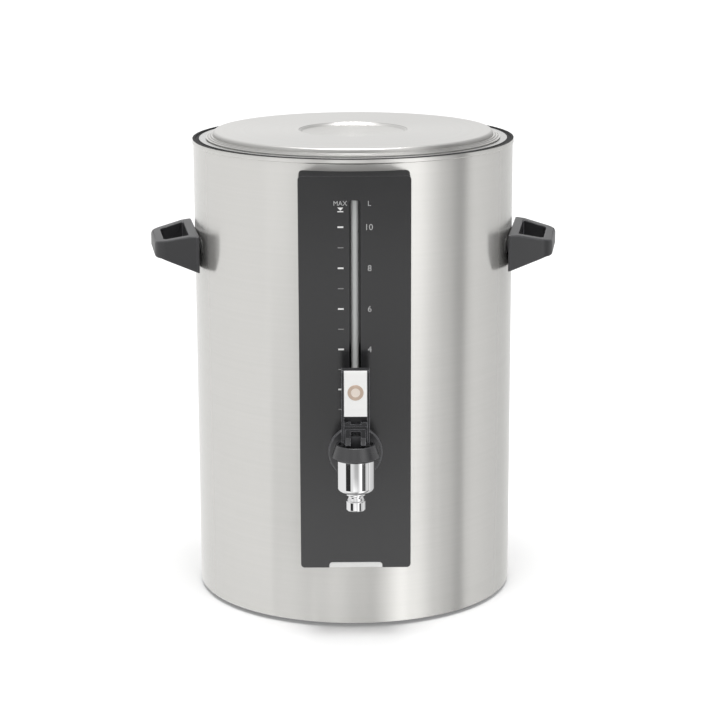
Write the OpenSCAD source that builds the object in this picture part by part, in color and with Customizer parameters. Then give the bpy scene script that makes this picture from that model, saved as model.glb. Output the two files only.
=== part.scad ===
// Hot water urn: a double-walled steel vessel with a lift-off lid, two side handles,
// a front panel with a gauge glass and litre marks, and a lever tap.
// Millimetres. The front faces -Y, +Z is up, the origin is on the resting plane
// under the middle of the vessel.

/* [Body] */
// Distance from the tank's inside to the shell's outside
wall_gap = 22.7; // [20:0.1:28]
// Thickness of the shell sheet
sheet = 1; // [0.8:0.1:1.4]
// Height from the resting plane to the top of the rolled bead
bead_top_z = 442.3; // [436:0.1:455]
// Height of the rolled bead
bead_h = 4.2; // [3:0.1:6]
// How far the bead stands out from the shell
bead_proud = 1.1; // [0.6:0.1:2]
// Gap under the lower edge of the shell
foot_h = 4; // [3:0.5:8]
// Radius of a rubber foot
foot_r = 12; // [9:0.5:15]
// Distance of a foot's middle from the shell's outside
foot_inset = 25.5; // [20:0.5:40]

/* [Tank] */
// Inside diameter of the tank
tank_d = 261.6; // [250:0.2:266]
// Thickness of the tank sheet
tank_wall = 1; // [0.8:0.1:1.5]
// Height of the tank's inner floor
tank_floor_z = 200.4; // [196:0.2:210]
// Distance of the tank's flange from the shell's outside
flange_inset = 8.1; // [7:0.1:9]
// Distance of the insulating jacket from the shell's outside
jacket_inset = 8.75; // [7:0.05:14]

/* [Rim] */
// Thickness of the rim ring above the bead
rim_t = 1.2; // [1:0.1:2]

/* [Lid] */
// How far the lid's brim reaches beyond the tank's inside
brim_over = 10.7; // [9:0.1:12]
// How far the lid's raised cap reaches beyond the tank's inside
cap_over = 3.5; // [2:0.1:4.5]
// Height of the cap's top above the rim
lid_rise = 6.7; // [5:0.1:12]
// Thickness of the lid sheet
lid_sheet = 0.8; // [0.6:0.1:1]
// Diameter of the pressed grip dish
dish_d = 104; // [80:1:120]
// Depth of the grip dish
dish_depth = 8; // [5:0.5:9]
// Depth of the lid's inner pan below the rim
pan_depth = 15; // [13:0.5:25]
// How far the lid lifts off
lid_lift = 120; // [60:5:200]

/* [Front panel] */
// Width of the panel
panel_w = 101; // [96:1:110]
// Height of the panel's lower edge
panel_z0 = 68.3; // [60:0.1:80]
// Distance of the panel's upper edge below the bead's top
panel_drop = 10; // [8:0.1:16]
// Distance of the panel's face in front of the shell
panel_proud = 27; // [25:0.5:32]
// Wall thickness of the panel
panel_wall = 2.5; // [2:0.1:3]
// Corner radius of the panel
panel_corner = 3.6; // [2:0.1:8]
// Width of the gauge slot
slot_w = 10.8; // [9.4:0.1:12]
// Height of the slot's lower end
slot_z0 = 205; // [204.6:0.1:210]
// Width of the notch in the panel's lower edge
notch_w = 49; // [40:1:56]
// Height of the notch
notch_h = 5.2; // [4:0.1:7]

/* [Gauge] */
// Outside diameter of the gauge glass
glass_d = 7.2; // [6:0.1:8]
// Wall thickness of the gauge glass
glass_wall = 1.2; // [0.8:0.1:1.5]
// Distance of the glass's axis behind the panel's face
glass_back = 8.5; // [7.5:0.1:10]
// Distance of the upper fill line below the bead's top
fill_drop = 41.9; // [38:0.1:50]
// Length of a scale mark
mark_l = 5.2; // [3:0.1:7]
// Distance of the marks' middle from the glass's axis
mark_x = 12.6; // [11:0.1:20]

/* [Tap] */
// Height of the tap's inlet
inlet_z = 178.8; // [176:0.1:182]
// Distance of the tap's axis in front of the panel
tap_reach = 34; // [32:0.5:45]
// Radius of the tap's barrel
barrel_r = 17; // [16:0.1:20]
// Height of the barrel below the inlet
barrel_drop = 27; // [24:0.5:30]
// Length of the spout below the barrel
spout_l = 17.5; // [14:0.5:22]
// Radius of the spout's nozzle
nozzle_r = 9.2; // [8.5:0.1:11]
// Radius of the spout's bore
spout_bore_r = 5; // [4:0.1:5.4]
// Radius of the threaded inlet shank
shank_r = 7; // [6.4:0.1:7.6]
// Radius of the escutcheon
escutcheon_r = 24.9; // [20:0.1:28]

/* [Lever] */
// Width of the lever
lever_w = 25.1; // [23:0.1:27]
// Height of the lever above its pin
lever_h = 65.2; // [55:0.1:80]
// Thickness of the lever
lever_t = 11; // [9:0.1:13]
// Length of the steel face plate
plate_l = 42.3; // [30:0.1:46]
// Diameter of the plain round badge
badge_d = 14.2; // [8:0.1:18]
// Angle through which the lever tips forward
lever_travel = 60; // [40:1:60]
// How far the lever lifts the valve over its whole travel
valve_lift = 4.8; // [3:0.1:5]

/* [Handles] */
// Angle of a handle's middle from the front
handle_angle = 82; // [75:1:90]
// Distance of a handle's upper edge below the bead's top
handle_drop = 83.1; // [70:0.1:140]
// Height of the handle's mounting plate
handle_h = 35.7; // [30:0.1:45]
// Length of the mounting plate round the body
handle_l = 104; // [90:1:112]
// Distance of the grip's outer face from the shell
handle_out = 41; // [36:0.1:50]
// Thickness of the mounting plate
handle_plate_t = 9; // [8:0.1:12]
// Thickness of the grip bar
grip_t = 9; // [8:0.1:14]
// Height of the grip bar
grip_h = 16.5; // [12:0.5:22]

/* [Electrics] */
// Distance of the heating element's ring from the tank's inside
element_inset = 55.8; // [50:0.2:62]
// Radius of the heating element's tube
element_r = 4; // [3:0.1:4.5]
// Distance of the heater plate's edge from the tank's inside
heater_inset = 40.8; // [37:0.2:46]
// Height of the power inlet's middle
power_z = 46; // [42:1:70]
// Angle through which the rocker tilts from off to on
rocker_travel = 18; // [12:1:20]

/* [Clearances] */
// Gap between two seated pieces
seat_gap = 0.15; // [0.1:0.05:0.2]
// Radial gap of a running fit
run_gap = 0.05; // [0.03:0.01:0.08]
// Gap between two moving pieces
free_gap = 0.3; // [0.25:0.05:0.5]

/* [Hidden] */
$fn = 72;

steel = [0.78, 0.78, 0.76];
black = [0.16, 0.16, 0.17];
chrome = [0.9, 0.9, 0.92];
silicone = [0.85, 0.85, 0.83];

// Shell, tank and rim
tank_r = tank_d / 2;
tank_out_r = tank_r + tank_wall;
body_r = tank_r + wall_gap;
shell_in_r = body_r - sheet;
flange_r = body_r - flange_inset;
jacket_r = body_r - jacket_inset;
foot_circle_r = body_r - foot_inset;
foot_neck_r = 5;
foot_button_r = 7.5;
foot_button_h = 5;
litre_mm = 1000000 / (PI * tank_r * tank_r);
fill_z = bead_top_z - fill_drop;
litres = floor((fill_z - tank_floor_z) / litre_mm);
rim_top_z = bead_top_z + rim_t;
rim_out_r = body_r + bead_proud + 0.3;
flange_z = bead_top_z;
rim_ledge = 1.8;
rim_leg = 10;
rim_leg_t = 2.2;
rim_step = 4.4;

// Lid
brim_r = tank_r + brim_over;
cap_r = tank_r + cap_over;
cap_top_z = rim_top_z + lid_rise;
cap_round = 2.5;
seal_h = 0.6;
brim_z = flange_z + tank_wall + seal_h;
brim_step_w = 2.35;
brim_step_h = 0.7;
dish_r = dish_d / 2;
dish_lip = 3;
pan_wall = 0.8;
pan_r = tank_r - 1.5;
pan_z = rim_top_z - pan_depth;

// Front panel and gauge
panel_y = -(body_r + panel_proud);
panel_z1 = bead_top_z - panel_drop;
panel_back_y = -(body_r - 50);
glass_y = panel_y + glass_back;
glass_r = glass_d / 2;
channel_wall = 1.5;
channel_in_w = 13.2;
channel_depth = 16.5;
slot_over = 9.9;
slot_z1 = fill_z + slot_over;
gauge_end_z = slot_z1 + 8;
boss_x = 30;
boss_r = 4;
boss_inset = 32;
screw_r = 2;
screw_head_r = 3.5;
screw_head_h = 2.4;
mark_raise = 0.2;

// Tap
tap_y = panel_y - tap_reach;
collar_foot_z = inlet_z + 0.9;
barrel_z0 = inlet_z - barrel_drop;
barrel_round = 4.5;
neck_in_r = 12.5;
neck_r = 15;
neck_top_z = collar_foot_z + 10.3;
web_t = 2.5;
recess_floor_z = neck_top_z + web_t;
collar_rim_z = recess_floor_z + 3.5;
collar_rim_r = 17.9;
collar_wide_r = 21.1;
collar_wide_z = collar_foot_z + 3.7;
recess_r = 15.5;
seat_z = barrel_z0 + 9;
seat_lip = 1.5;
arm_r = 8.5;
arm_flange_r = 11.5;
arm_flange_t = 3;
escutcheon_t = 2.5;
arm_y1 = panel_y - escutcheon_t;
shank_bore_r = 5;
shank_y0 = tap_y + neck_r + 2;
stem_r = 2.5;
cup_r = 8.5;
cup_h = 5.5;
plug_flange_h = 1.5;
plug_flange_r = 6.6;
spring_wire_r = 0.6;
spring_turns = 6;
spring_r = 5.2;
elbow_inset = 19;
elbow_y = -(tank_r - elbow_inset);
elbow_r = 13;
elbow_bore_r = 9;
elbow_boss_r = 10.5;
elbow_boss_l = 15;
elbow_z0 = inlet_z - 11;
elbow_flange_r = 16;
elbow_flange_t = 2;
shank_y1 = elbow_y - elbow_bore_r - 1;
nut_flat_r = 11;
nut_t = 6;

// Lever
pin_r = 2;
pin_h = 7.5;
pin_z = recess_floor_z + pin_h;
tongue_w = 8.4;
tongue_t = 7;
tongue_up = 3.8;
rail_w = 2.2;
slot_up = 8.9;
cam_w = 18;
lever_front = 6.5;
lever_top_z = pin_z + lever_h;
plate_t = 1.2;
plate_w = lever_w - 2 * rail_w - 0.2;
badge_t = 0.4;
recess_gap_h = 5.4;
cross_bar_h = 4;

// Handles
handle_z1 = bead_top_z - handle_drop;
handle_z0 = handle_z1 - handle_h;
foot_v = 22;
handle_boss_r = 8;
handle_back = 0.3;
loop_corner_r = 17;
opening_corner_r = 8;
grip_foot_r = 3;
side_lean = 0.37;
lean_start = 3;
backing_l = 62;
backing_h = 24;
backing_t = 2;
grip_z = handle_z0 + handle_h / 2 + 3.2;
opening_l = 82;
handle_screw_r = 2.5;
handle_screw_head_r = 4.5;

// Electrics under the tank
floor_under_z = tank_floor_z - tank_wall;
heater_plate_t = 3;
plate_under_z = floor_under_z - heater_plate_t;
heater_plate_r = tank_r - heater_inset;
element_ring_r = tank_r - element_inset;
element_z = plate_under_z - element_r - 0.05;
clamp_t = 1.5;
clamp_z = element_z - element_r - 0.05 - clamp_t;
stud_r = 2.5;
stud_ring_r = element_ring_r - element_r - 5.5;
stud_nut_h = 4;
spacer_l = 22;
shield_z = clamp_z - stud_nut_h - spacer_l - 1.2;
shield_t = 1.2;
shield_r = body_r - 35.5;
stud_z0 = shield_z - stud_nut_h - 2;
element_gap = 24;
cold_end_l = 14;
pin_l = 6;
end_x = element_ring_r * sin(element_gap / 2);
end_y = element_ring_r * cos(element_gap / 2);
sensor_x = 28;
sensor_r = 8.5;
sensor_h = 11;
strap_t = 1.5;
strap_w = 9;
strap_over = 7;
strap_z = plate_under_z - sensor_h - strap_t;
base_z = foot_h + 2;
base_t = 1.2;
base_rim_h = 12;

// Power inlet and switch
housing_w = 74;
housing_h = 34;
housing_depth = 16;
housing_wall = 2;
socket_x = 22 - housing_w / 2;
socket_w = 27;
socket_h = 20;
switch_x = housing_w / 2 - 17;
switch_w = 15;
switch_h = 21;
housing_y = sqrt(body_r * body_r - housing_w * housing_w / 4) - 3;
rocker_gap = 0.4;
block_y = housing_y - 54;
block_w = 44;
block_d = 18;
block_h = 14;

// ---------- shared shapes ----------

// A tube between two heights
module ring(r_out, r_in, z0, z1) {
    translate([0, 0, z0]) difference() {
        cylinder(r = r_out, h = z1 - z0);
        translate([0, 0, -1]) cylinder(r = r_in, h = z1 - z0 + 2);
    }
}

// A cylinder along Y from y0 to y1
module rod_y(x, z, r, y0, y1) {
    translate([x, y0, z]) rotate([-90, 0, 0]) cylinder(r = r, h = y1 - y0);
}

// A box between two corners
module block(a, b) {
    translate(a) cube(b - a);
}

// A rectangle with round corners, centred
module round_rect(w, h, r) {
    union() {
        square([w - 2 * r, h], center = true);
        square([w, h - 2 * r], center = true);
        for (sx = [-1, 1], sz = [-1, 1])
            translate([sx * (w / 2 - r), sz * (h / 2 - r)]) circle(r = r);
    }
}

// A plate that stands in the XZ plane from y0 to y1, drawn as X and Z
module wall_xz(y0, y1) {
    translate([0, y1, 0]) rotate([90, 0, 0]) linear_extrude(y1 - y0) children();
}

// A slice along X from x0 to x1 of an outline drawn as forward distance and height
module slice_x(x0, x1) {
    translate([x1, 0, 0]) rotate([90, 0, -90]) linear_extrude(x1 - x0) children();
}

// A hexagon nut along Z
module hex_nut(flat_r, bore_r, h) {
    difference() {
        cylinder(r = flat_r / cos(30), h = h, $fn = 6);
        translate([0, 0, -1]) cylinder(r = bore_r, h = h + 2);
    }
}

// Puts children at the frame of one handle: +X outward, +Y round towards the front, +Z up
module at_handle(side) {
    rotate([0, 0, side * handle_angle - 90]) translate([body_r, 0, 0])
        scale_y(-side) children();
}

// Mirrors in Y where the sign is negative
module scale_y(sign) {
    if (sign < 0) mirror([0, 1, 0]) children();
    else children();
}

// ---------- vessel ----------

module outer_shell() {
    color(steel) difference() {
        union() {
            ring(body_r, shell_in_r, foot_h, bead_top_z);
            rotate_extrude() bead_outline();
        }
        rod_y(0, inlet_z, shank_r + 0.3, -body_r - 5, -shell_in_r + 5);
        panel_screw_places() rod_y(0, 0, screw_r + 0.3, -body_r - 5, -shell_in_r + 16);
        for (side = [-1, 1]) at_handle(side) handle_rods(handle_screw_r + 0.3, -20, 10);
        translate([0, 0, power_z]) wall_xz(shell_in_r - 20, body_r + 5)
            round_rect(housing_w - 8, housing_h - 8, 3);
    }
}

// The rolled bead, drawn as radius and height
module bead_outline() {
    union() {
        for (z = [bead_top_z - bead_h + bead_proud, bead_top_z - bead_proud])
            translate([body_r, z]) circle(r = bead_proud, $fn = 32);
        translate([shell_in_r, bead_top_z - bead_h + bead_proud])
            square([sheet + bead_proud, bead_h - 2 * bead_proud]);
        translate([shell_in_r, bead_top_z - bead_h]) square([sheet, bead_h]);
    }
}

module base_plate() {
    color(steel) difference() {
        union() {
            ring(shell_in_r - seat_gap, 30, base_z, base_z + base_t);
            ring(shell_in_r - seat_gap, shell_in_r - seat_gap - base_t, base_z, base_z + base_rim_h);
        }
        foot_places() translate([0, 0, base_z - 1]) cylinder(r = foot_neck_r, h = base_t + 2);
        for (a = [20:40:340]) rotate([0, 0, a])
            block([60, -3, base_z - 1], [90, 3, base_z + base_t + 1]);
    }
}

module foot_places() {
    for (a = [45:90:315]) rotate([0, 0, a]) translate([foot_circle_r, 0, 0]) children();
}

module rubber_feet() {
    color(black) foot_places() rotate_extrude()
        polygon([[0, 0], [foot_r, 0], [foot_r, base_z], [foot_neck_r - run_gap, base_z],
            [foot_neck_r - run_gap, base_z + base_t], [foot_button_r, base_z + base_t],
            [foot_button_r - 1.5, base_z + base_t + foot_button_h], [0, base_z + base_t + foot_button_h]]);
}

module inner_tank() {
    color(steel) difference() {
        rotate_extrude() polygon([
            [0, floor_under_z], [tank_out_r, floor_under_z], [tank_out_r, flange_z],
            [flange_r, flange_z], [flange_r, flange_z + tank_wall],
            [tank_r, flange_z + tank_wall], [tank_r, tank_floor_z], [0, tank_floor_z]]);
        translate([0, elbow_y, floor_under_z - 1]) cylinder(r = elbow_bore_r, h = tank_wall + 2);
    }
}

module insulation_jacket() {
    color("khaki")
        ring(jacket_r, tank_out_r + seat_gap, tank_floor_z + 2, bead_top_z - rim_leg - 2);
}

module rim_ring() {
    color(black) rotate_extrude() polygon([
        [rim_out_r, bead_top_z], [rim_out_r, rim_top_z - 0.5], [rim_out_r - 0.5, rim_top_z],
        [flange_r + 0.3, rim_top_z], [flange_r + 0.3, flange_z], [flange_r - rim_step, flange_z],
        [flange_r - rim_step, flange_z - rim_ledge],
        [shell_in_r - seat_gap - rim_leg_t, flange_z - rim_ledge],
        [shell_in_r - seat_gap - rim_leg_t, flange_z - rim_leg],
        [shell_in_r - seat_gap, flange_z - rim_leg], [shell_in_r - seat_gap, bead_top_z]]);
}

// ---------- heater ----------

module stud_places() {
    for (a = [30, 150, 270]) rotate([0, 0, a]) translate([stud_ring_r, 0, 0]) children();
}

module tank_studs() {
    color(steel) {
        stud_places() translate([0, 0, stud_z0]) cylinder(r = stud_r, h = floor_under_z - stud_z0);
        translate([0, 0, strap_z - stud_nut_h - 2])
            cylinder(r = stud_r, h = floor_under_z - strap_z + stud_nut_h + 2);
    }
}

module stud_holes(z) {
    stud_places() translate([0, 0, z - 1]) cylinder(r = stud_r + 0.2, h = heater_plate_t + 2);
}

module heater_plate() {
    color("lightgrey") difference() {
        translate([0, 0, plate_under_z]) cylinder(r = heater_plate_r, h = heater_plate_t);
        stud_holes(plate_under_z);
        translate([0, 0, plate_under_z - 1]) cylinder(r = stud_r + 0.2, h = heater_plate_t + 2);
    }
}

module heating_element() {
    color("dimgray") {
        translate([0, 0, element_z]) rotate([0, 0, 90 + element_gap / 2])
            rotate_extrude(angle = 360 - element_gap) translate([element_ring_r, 0])
                circle(r = element_r, $fn = 32);
        element_ends() {
            translate([0, 0, -cold_end_l])
                cylinder(r = element_r + 0.6, h = cold_end_l + element_r - 0.3, $fn = 32);
            translate([0, 0, -cold_end_l - pin_l]) cylinder(r = 1.5, h = pin_l + 1, $fn = 24);
        }
    }
}

module element_ends() {
    for (s = [-1, 1]) rotate([0, 0, 90 + s * element_gap / 2])
        translate([element_ring_r, 0, element_z]) children();
}

module element_clamp() {
    color("silver") difference() {
        ring(element_ring_r + 7, stud_ring_r - 5, clamp_z, clamp_z + clamp_t);
        stud_holes(clamp_z);
        block([-end_x - 8, stud_ring_r + 1.5, clamp_z - 1],
            [end_x + 8, element_ring_r + 20, clamp_z + clamp_t + 1]);
    }
}

module stud_nuts() {
    color(steel) {
        stud_places() {
            translate([0, 0, clamp_z - stud_nut_h]) hex_nut(4, stud_r + run_gap, stud_nut_h);
            translate([0, 0, shield_z - stud_nut_h]) hex_nut(4, stud_r + run_gap, stud_nut_h);
        }
        translate([0, 0, strap_z - stud_nut_h]) hex_nut(4, stud_r + run_gap, stud_nut_h);
    }
}

module shield_spacers() {
    color("silver") stud_places()
        ring(4, stud_r + 0.1, shield_z + shield_t, shield_z + shield_t + spacer_l);
}

module heat_shield() {
    color("silver") difference() {
        translate([0, 0, shield_z]) cylinder(r = shield_r, h = shield_t);
        stud_holes(shield_z);
        translate([0, block_y - 22, shield_z - 1]) cylinder(r = 16, h = shield_t + 2);
    }
}

// A round bimetal switch against the heater plate, with two blade tabs
module bimetal(x, r) {
    translate([x, 0, plate_under_z - sensor_h]) {
        cylinder(r = r, h = sensor_h);
        for (s = [-1, 1])
            block([-0.4, s * 5 - 1.5 + (s > 0 ? 2 : -2), -7], [0.4, s * 5 + 1.5 + (s > 0 ? 2 : -2), 0.1]);
    }
}

module thermostat() {
    color("sienna") bimetal(sensor_x, sensor_r);
}

module boil_dry_cutout() {
    color("ivory") bimetal(-sensor_x, sensor_r);
}

module sensor_strap() {
    color("silver") difference() {
        block([-sensor_x - strap_over, -strap_w / 2, strap_z],
            [sensor_x + strap_over, strap_w / 2, strap_z + strap_t]);
        translate([0, 0, strap_z - 1]) cylinder(r = stud_r + 0.2, h = strap_t + 2);
    }
}

module terminal_block() {
    color("ivory") difference() {
        block([-block_w / 2, block_y - block_d / 2, base_z + base_t],
            [block_w / 2, block_y + block_d / 2, base_z + base_t + block_h]);
        for (x = [-14, 0, 14]) {
            rod_y(x, base_z + base_t + 5, lead_r + 0.3, block_y - block_d, block_y + block_d);
            translate([x, block_y, base_z + base_t + 5]) cylinder(r = 2.2, h = block_h);
        }
    }
}

// ---------- power inlet ----------

module inlet_housing() {
    color(black) difference() {
        union() {
            intersection() {
                translate([0, 0, power_z]) wall_xz(shell_in_r - 20, body_r + 3)
                    round_rect(housing_w, housing_h, 4);
                ring(body_r + 2, body_r + seat_gap, 0, power_z + housing_h);
            }
            intersection() {
                translate([0, 0, power_z]) wall_xz(housing_y - housing_depth, body_r + 3)
                    round_rect(housing_w - 8.6, housing_h - 8.6, 3);
                translate([0, 0, 1]) cylinder(r = body_r + 1, h = power_z + housing_h);
            }
        }
        translate([0, 0, power_z]) wall_xz(housing_y, body_r + 5)
            round_rect(housing_w - 12.6, housing_h - 12.6, 2);
        translate([0, 0, power_z])
            wall_xz(housing_y - housing_depth - 1, housing_y - housing_wall)
                round_rect(housing_w - 12.6, housing_h - 12.6, 2);
        block([socket_x - socket_w / 2, housing_y - 5, power_z - socket_h / 2],
            [socket_x + socket_w / 2, housing_y + 5, power_z + socket_h / 2]);
        block([switch_x - switch_w / 2, housing_y - 5, power_z - switch_h / 2],
            [switch_x + switch_w / 2, housing_y + 5, power_z + switch_h / 2]);
    }
}

module power_inlet() {
    g = seat_gap;
    color([0.1, 0.1, 0.1]) {
        difference() {
            block([socket_x - socket_w / 2 + g, housing_y - 17, power_z - socket_h / 2 + g],
                [socket_x + socket_w / 2 - g, housing_y + 1, power_z + socket_h / 2 - g]);
            block([socket_x - socket_w / 2 + 2, housing_y - 15, power_z - socket_h / 2 + 2],
                [socket_x + socket_w / 2 - 2, housing_y + 2, power_z + socket_h / 2 - 2]);
        }
    }
    color("gold") for (x = [-7, 0, 7])
        block([socket_x + x - 1, housing_y - 22, power_z - 2 + (x == 0 ? 3 : 0)],
            [socket_x + x + 1, housing_y - 3, power_z + 2 + (x == 0 ? 3 : 0)]);
}

module switch_frame() {
    g = seat_gap;
    color([0.1, 0.1, 0.1]) difference() {
        block([switch_x - switch_w / 2 + g, housing_y - 17, power_z - switch_h / 2 + g],
            [switch_x + switch_w / 2 - g, housing_y + 1, power_z + switch_h / 2 - g]);
        block([switch_x - switch_w / 2 + 1.5, housing_y - 7, power_z - switch_h / 2 + 1.5],
            [switch_x + switch_w / 2 - 1.5, housing_y + 2, power_z + switch_h / 2 - 1.5]);
        translate([switch_x - switch_w / 2 - 1, rocker_y(), power_z]) rotate([0, 90, 0])
            cylinder(r = 1.2 + run_gap, h = switch_w + 2, $fn = 32);
    }
}

// Depth of the rocker's pivot
function rocker_y() = housing_y - 1.5;

// Half length of the rocker
function rocker_half() = switch_h / 2 - 1.5 - rocker_gap;

module switch_rocker() {
    half = rocker_half();
    tilt = rocker_travel / 2;
    color("darkred") {
        translate([0, rocker_y(), power_z]) rotate([tilt, 0, 0]) {
            slice_back(switch_x - switch_w / 2 + 1.5 + rocker_gap, switch_x + switch_w / 2 - 1.5 - rocker_gap)
                polygon([[-2, -3], [2, -3], [half - 1.5, -0.5], [half - 0.8, 2.2], [0, 3.4],
                    [-half + 0.8, 2.2], [-half + 1.5, -0.5]]);
            translate([switch_x - switch_w / 2 + 0.3, 0, 0]) rotate([0, 90, 0])
                cylinder(r = 1.2, h = switch_w - 0.6, $fn = 32);
        }
    }
}

// A slice along X of an outline drawn as height and backward distance
module slice_back(x0, x1) {
    translate([x0, 0, 0]) rotate([0, 90, 0]) rotate([0, 0, 90])
        mirror([1, 0, 0]) rotate([0, 0, -90]) linear_extrude(x1 - x0) children();
}

// ---------- wiring ----------

function unit(v) = v / norm(v);

function tangent(p, i) = i == 0 ? unit(p[1] - p[0])
    : i == len(p) - 1 ? unit(p[i] - p[i - 1])
    : unit(unit(p[i + 1] - p[i]) + unit(p[i] - p[i - 1]));

// The side direction u carried square to the path at point i
function carried(p, i, u) = let (t = tangent(p, i)) unit(u - (u * t) * t);

// The side direction at every point, from point i on
function side_dirs(p, i, u) = let (w = carried(p, i, u))
    i == len(p) - 1 ? [w] : concat([w], side_dirs(p, i + 1, w));

// A path with its corners cut once
function softened(p) = concat([p[0]],
    [for (i = [0:len(p) - 2]) each [0.75 * p[i] + 0.25 * p[i + 1], 0.25 * p[i] + 0.75 * p[i + 1]]],
    [p[len(p) - 1]]);

// A tube of radius r along a path
module tube_along(p, r, sides = 8) {
    u = side_dirs(p, 0, abs(tangent(p, 0)[2]) > 0.9 ? [1, 0, 0] : [0, 0, 1]);
    n = len(p);
    points = [for (i = [0:n - 1]) let (t = tangent(p, i), w = cross(t, u[i]))
        for (k = [0:sides - 1]) p[i] + r * (cos(360 * k / sides) * u[i] + sin(360 * k / sides) * w)];
    walls = [for (i = [0:n - 2], k = [0:sides - 1]) let (a = i * sides + k, b = i * sides + (k + 1) % sides)
        each [[a, a + sides, b], [b, a + sides, b + sides]]];
    ends = [[for (k = [0:sides - 1]) k], [for (k = [sides - 1:-1:0]) (n - 1) * sides + k]];
    polyhedron(points = points, faces = concat(walls, ends));
}

// Routes of the leads, end to end
lead_r = 1.3;
block_in_z = base_z + base_t + 5;
lead_routes = [
    [[socket_x - 7, housing_y - 22.2, power_z], [socket_x - 7, housing_y - 34, power_z],
        [-14, block_y + 24, block_in_z + 6], [-14, block_y + 16, block_in_z], [-14, block_y + 4, block_in_z]],
    [[socket_x + 7, housing_y - 22.2, power_z], [socket_x + 7, housing_y - 30, power_z],
        [0, block_y + 22, block_in_z + 6], [0, block_y + 16, block_in_z], [0, block_y + 4, block_in_z]],
    [[switch_x, housing_y - 17.3, power_z], [switch_x, housing_y - 30, power_z],
        [14, block_y + 22, block_in_z + 6], [14, block_y + 16, block_in_z], [14, block_y + 4, block_in_z]],
    [[14, block_y - 4, block_in_z], [14, block_y - 18, block_in_z], [8, block_y - 22, block_in_z + 30],
        [6, block_y - 22, shield_z - 10], [6, block_y - 22, shield_z + 8], [24, 40, shield_z + 14],
        [sensor_x, 7, strap_z - 18], [sensor_x, 7, strap_z - 5.8]],
    [[-14, block_y - 4, block_in_z], [-14, block_y - 18, block_in_z], [-8, block_y - 22, block_in_z + 30],
        [-6, block_y - 22, shield_z - 10], [-6, block_y - 22, shield_z + 8], [-24, 40, shield_z + 14],
        [-sensor_x, 7, strap_z - 18], [-sensor_x, 7, strap_z - 5.8]],
    element_lead(1), element_lead(-1)];

// From a sensor's second tab round to the element's terminal on the same side
function element_lead(s) = [[s * sensor_x, -7, strap_z - 5.8], [s * sensor_x, -7, strap_z - 16],
    [s * (sensor_x + 14), 12, shield_z + 7], [s * (sensor_x + 12), end_y - 24, shield_z + 6],
    [s * (end_x + 1), end_y + 1, shield_z + 5], [s * end_x, end_y, element_z - cold_end_l - pin_l - 0.3]];

module lead_wires() {
    color("firebrick") for (route = lead_routes) tube_along(softened(softened(route)), lead_r);
}

// ---------- handles ----------

// Plan outline of the loop: outward distance and distance along the body.
// Its sides lean in, and a round corner joins each of them to the grip
module loop_plan(out, half, corner_r) {
    slant = sqrt(1 + side_lean * side_lean);
    mid_u = out - corner_r;
    mid_v = half - side_lean * (mid_u - lean_start) - corner_r * slant;
    side_u = mid_u + corner_r * side_lean / slant;
    side_v = mid_v + corner_r / slant;
    union() {
        polygon([[0, -half], [lean_start, -half], [side_u, -side_v], [mid_u, -mid_v], [out, -mid_v],
            [out, mid_v], [mid_u, mid_v], [side_u, side_v], [lean_start, half], [0, half]]);
        for (s = [-1, 1]) translate([mid_u, s * mid_v]) circle(r = corner_r);
    }
}

// Side outline of the handle: outward distance and height; it thins towards the grip
module handle_side() {
    grip_z0 = grip_z - grip_h / 2;
    grip_z1 = grip_z + grip_h / 2;
    fall = handle_z1 - grip_z1;
    polygon(concat([[handle_back, handle_z0], [handle_out - 2 * grip_foot_r, grip_z0]],
        [for (a = [-60, -30, 0]) [handle_out - grip_foot_r * (1 - cos(a)), grip_z0 + grip_foot_r * (1 + sin(a))]],
        [[handle_out, grip_z1 - 2.2], [handle_out - 1.6, grip_z1 - 0.6]],
        [for (p = [[0.9, 1], [0.7, 0.77], [0.5, 0.44], [0.23, 0.09]])
            [p[0] * handle_out, handle_z1 - p[1] * fall]],
        [[handle_back, handle_z1]]));
}

// Runs outward from the shell at one handle's screws
module handle_rods(r, u0, u1) {
    for (s = [-1, 1]) translate([u0, s * foot_v, grip_z]) rotate([0, 90, 0]) cylinder(r = r, h = u1 - u0);
}

module handle(side) {
    half = handle_l / 2;
    difference() {
        at_handle(side) difference() {
            union() {
                intersection() {
                    translate([0, 0, handle_z0 - 1]) linear_extrude(handle_h + 2)
                        loop_plan(handle_out, half, loop_corner_r);
                    rotate([90, 0, 0]) translate([0, 0, -half]) linear_extrude(2 * half) handle_side();
                }
                handle_rods(handle_boss_r, -5, handle_back + 1);
            }
            translate([0, 0, handle_z0 - 2]) linear_extrude(handle_h + 4) difference() {
                loop_plan(handle_out - grip_t, opening_l / 2, opening_corner_r);
                translate([-1, -half]) square([handle_plate_t + 1, 2 * half]);
            }
            handle_rods(handle_screw_r + run_gap, -6, handle_plate_t - 1);
        }
        translate([0, 0, handle_z0 - 5]) cylinder(r = body_r + seat_gap, h = handle_h + 10);
    }
}

module handle_left() {
    color(black) handle(-1);
}

module handle_right() {
    color(black) handle(1);
}

module handle_backings() {
    color("silver") for (side = [-1, 1]) difference() {
        rotate([0, 0, side * handle_angle - 90 - backing_angle() / 2])
            rotate_extrude(angle = backing_angle())
                translate([shell_in_r - seat_gap - backing_t, grip_z - backing_h / 2])
                    square([backing_t, backing_h]);
        at_handle(side) handle_rods(handle_screw_r + 0.2, -20, 10);
    }
}

function backing_angle() = 2 * asin(backing_l / 2 / shell_in_r);

module handle_screws() {
    seat_x = sqrt(pow(shell_in_r - seat_gap - backing_t, 2) - pow(foot_v + handle_screw_head_r, 2))
        - body_r - run_gap;
    color(steel) for (side = [-1, 1]) at_handle(side) {
        handle_rods(handle_screw_head_r, seat_x - 2.5, seat_x);
        handle_rods(handle_screw_r, seat_x, handle_plate_t - 1.5);
    }
}

// ---------- front panel ----------

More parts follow.
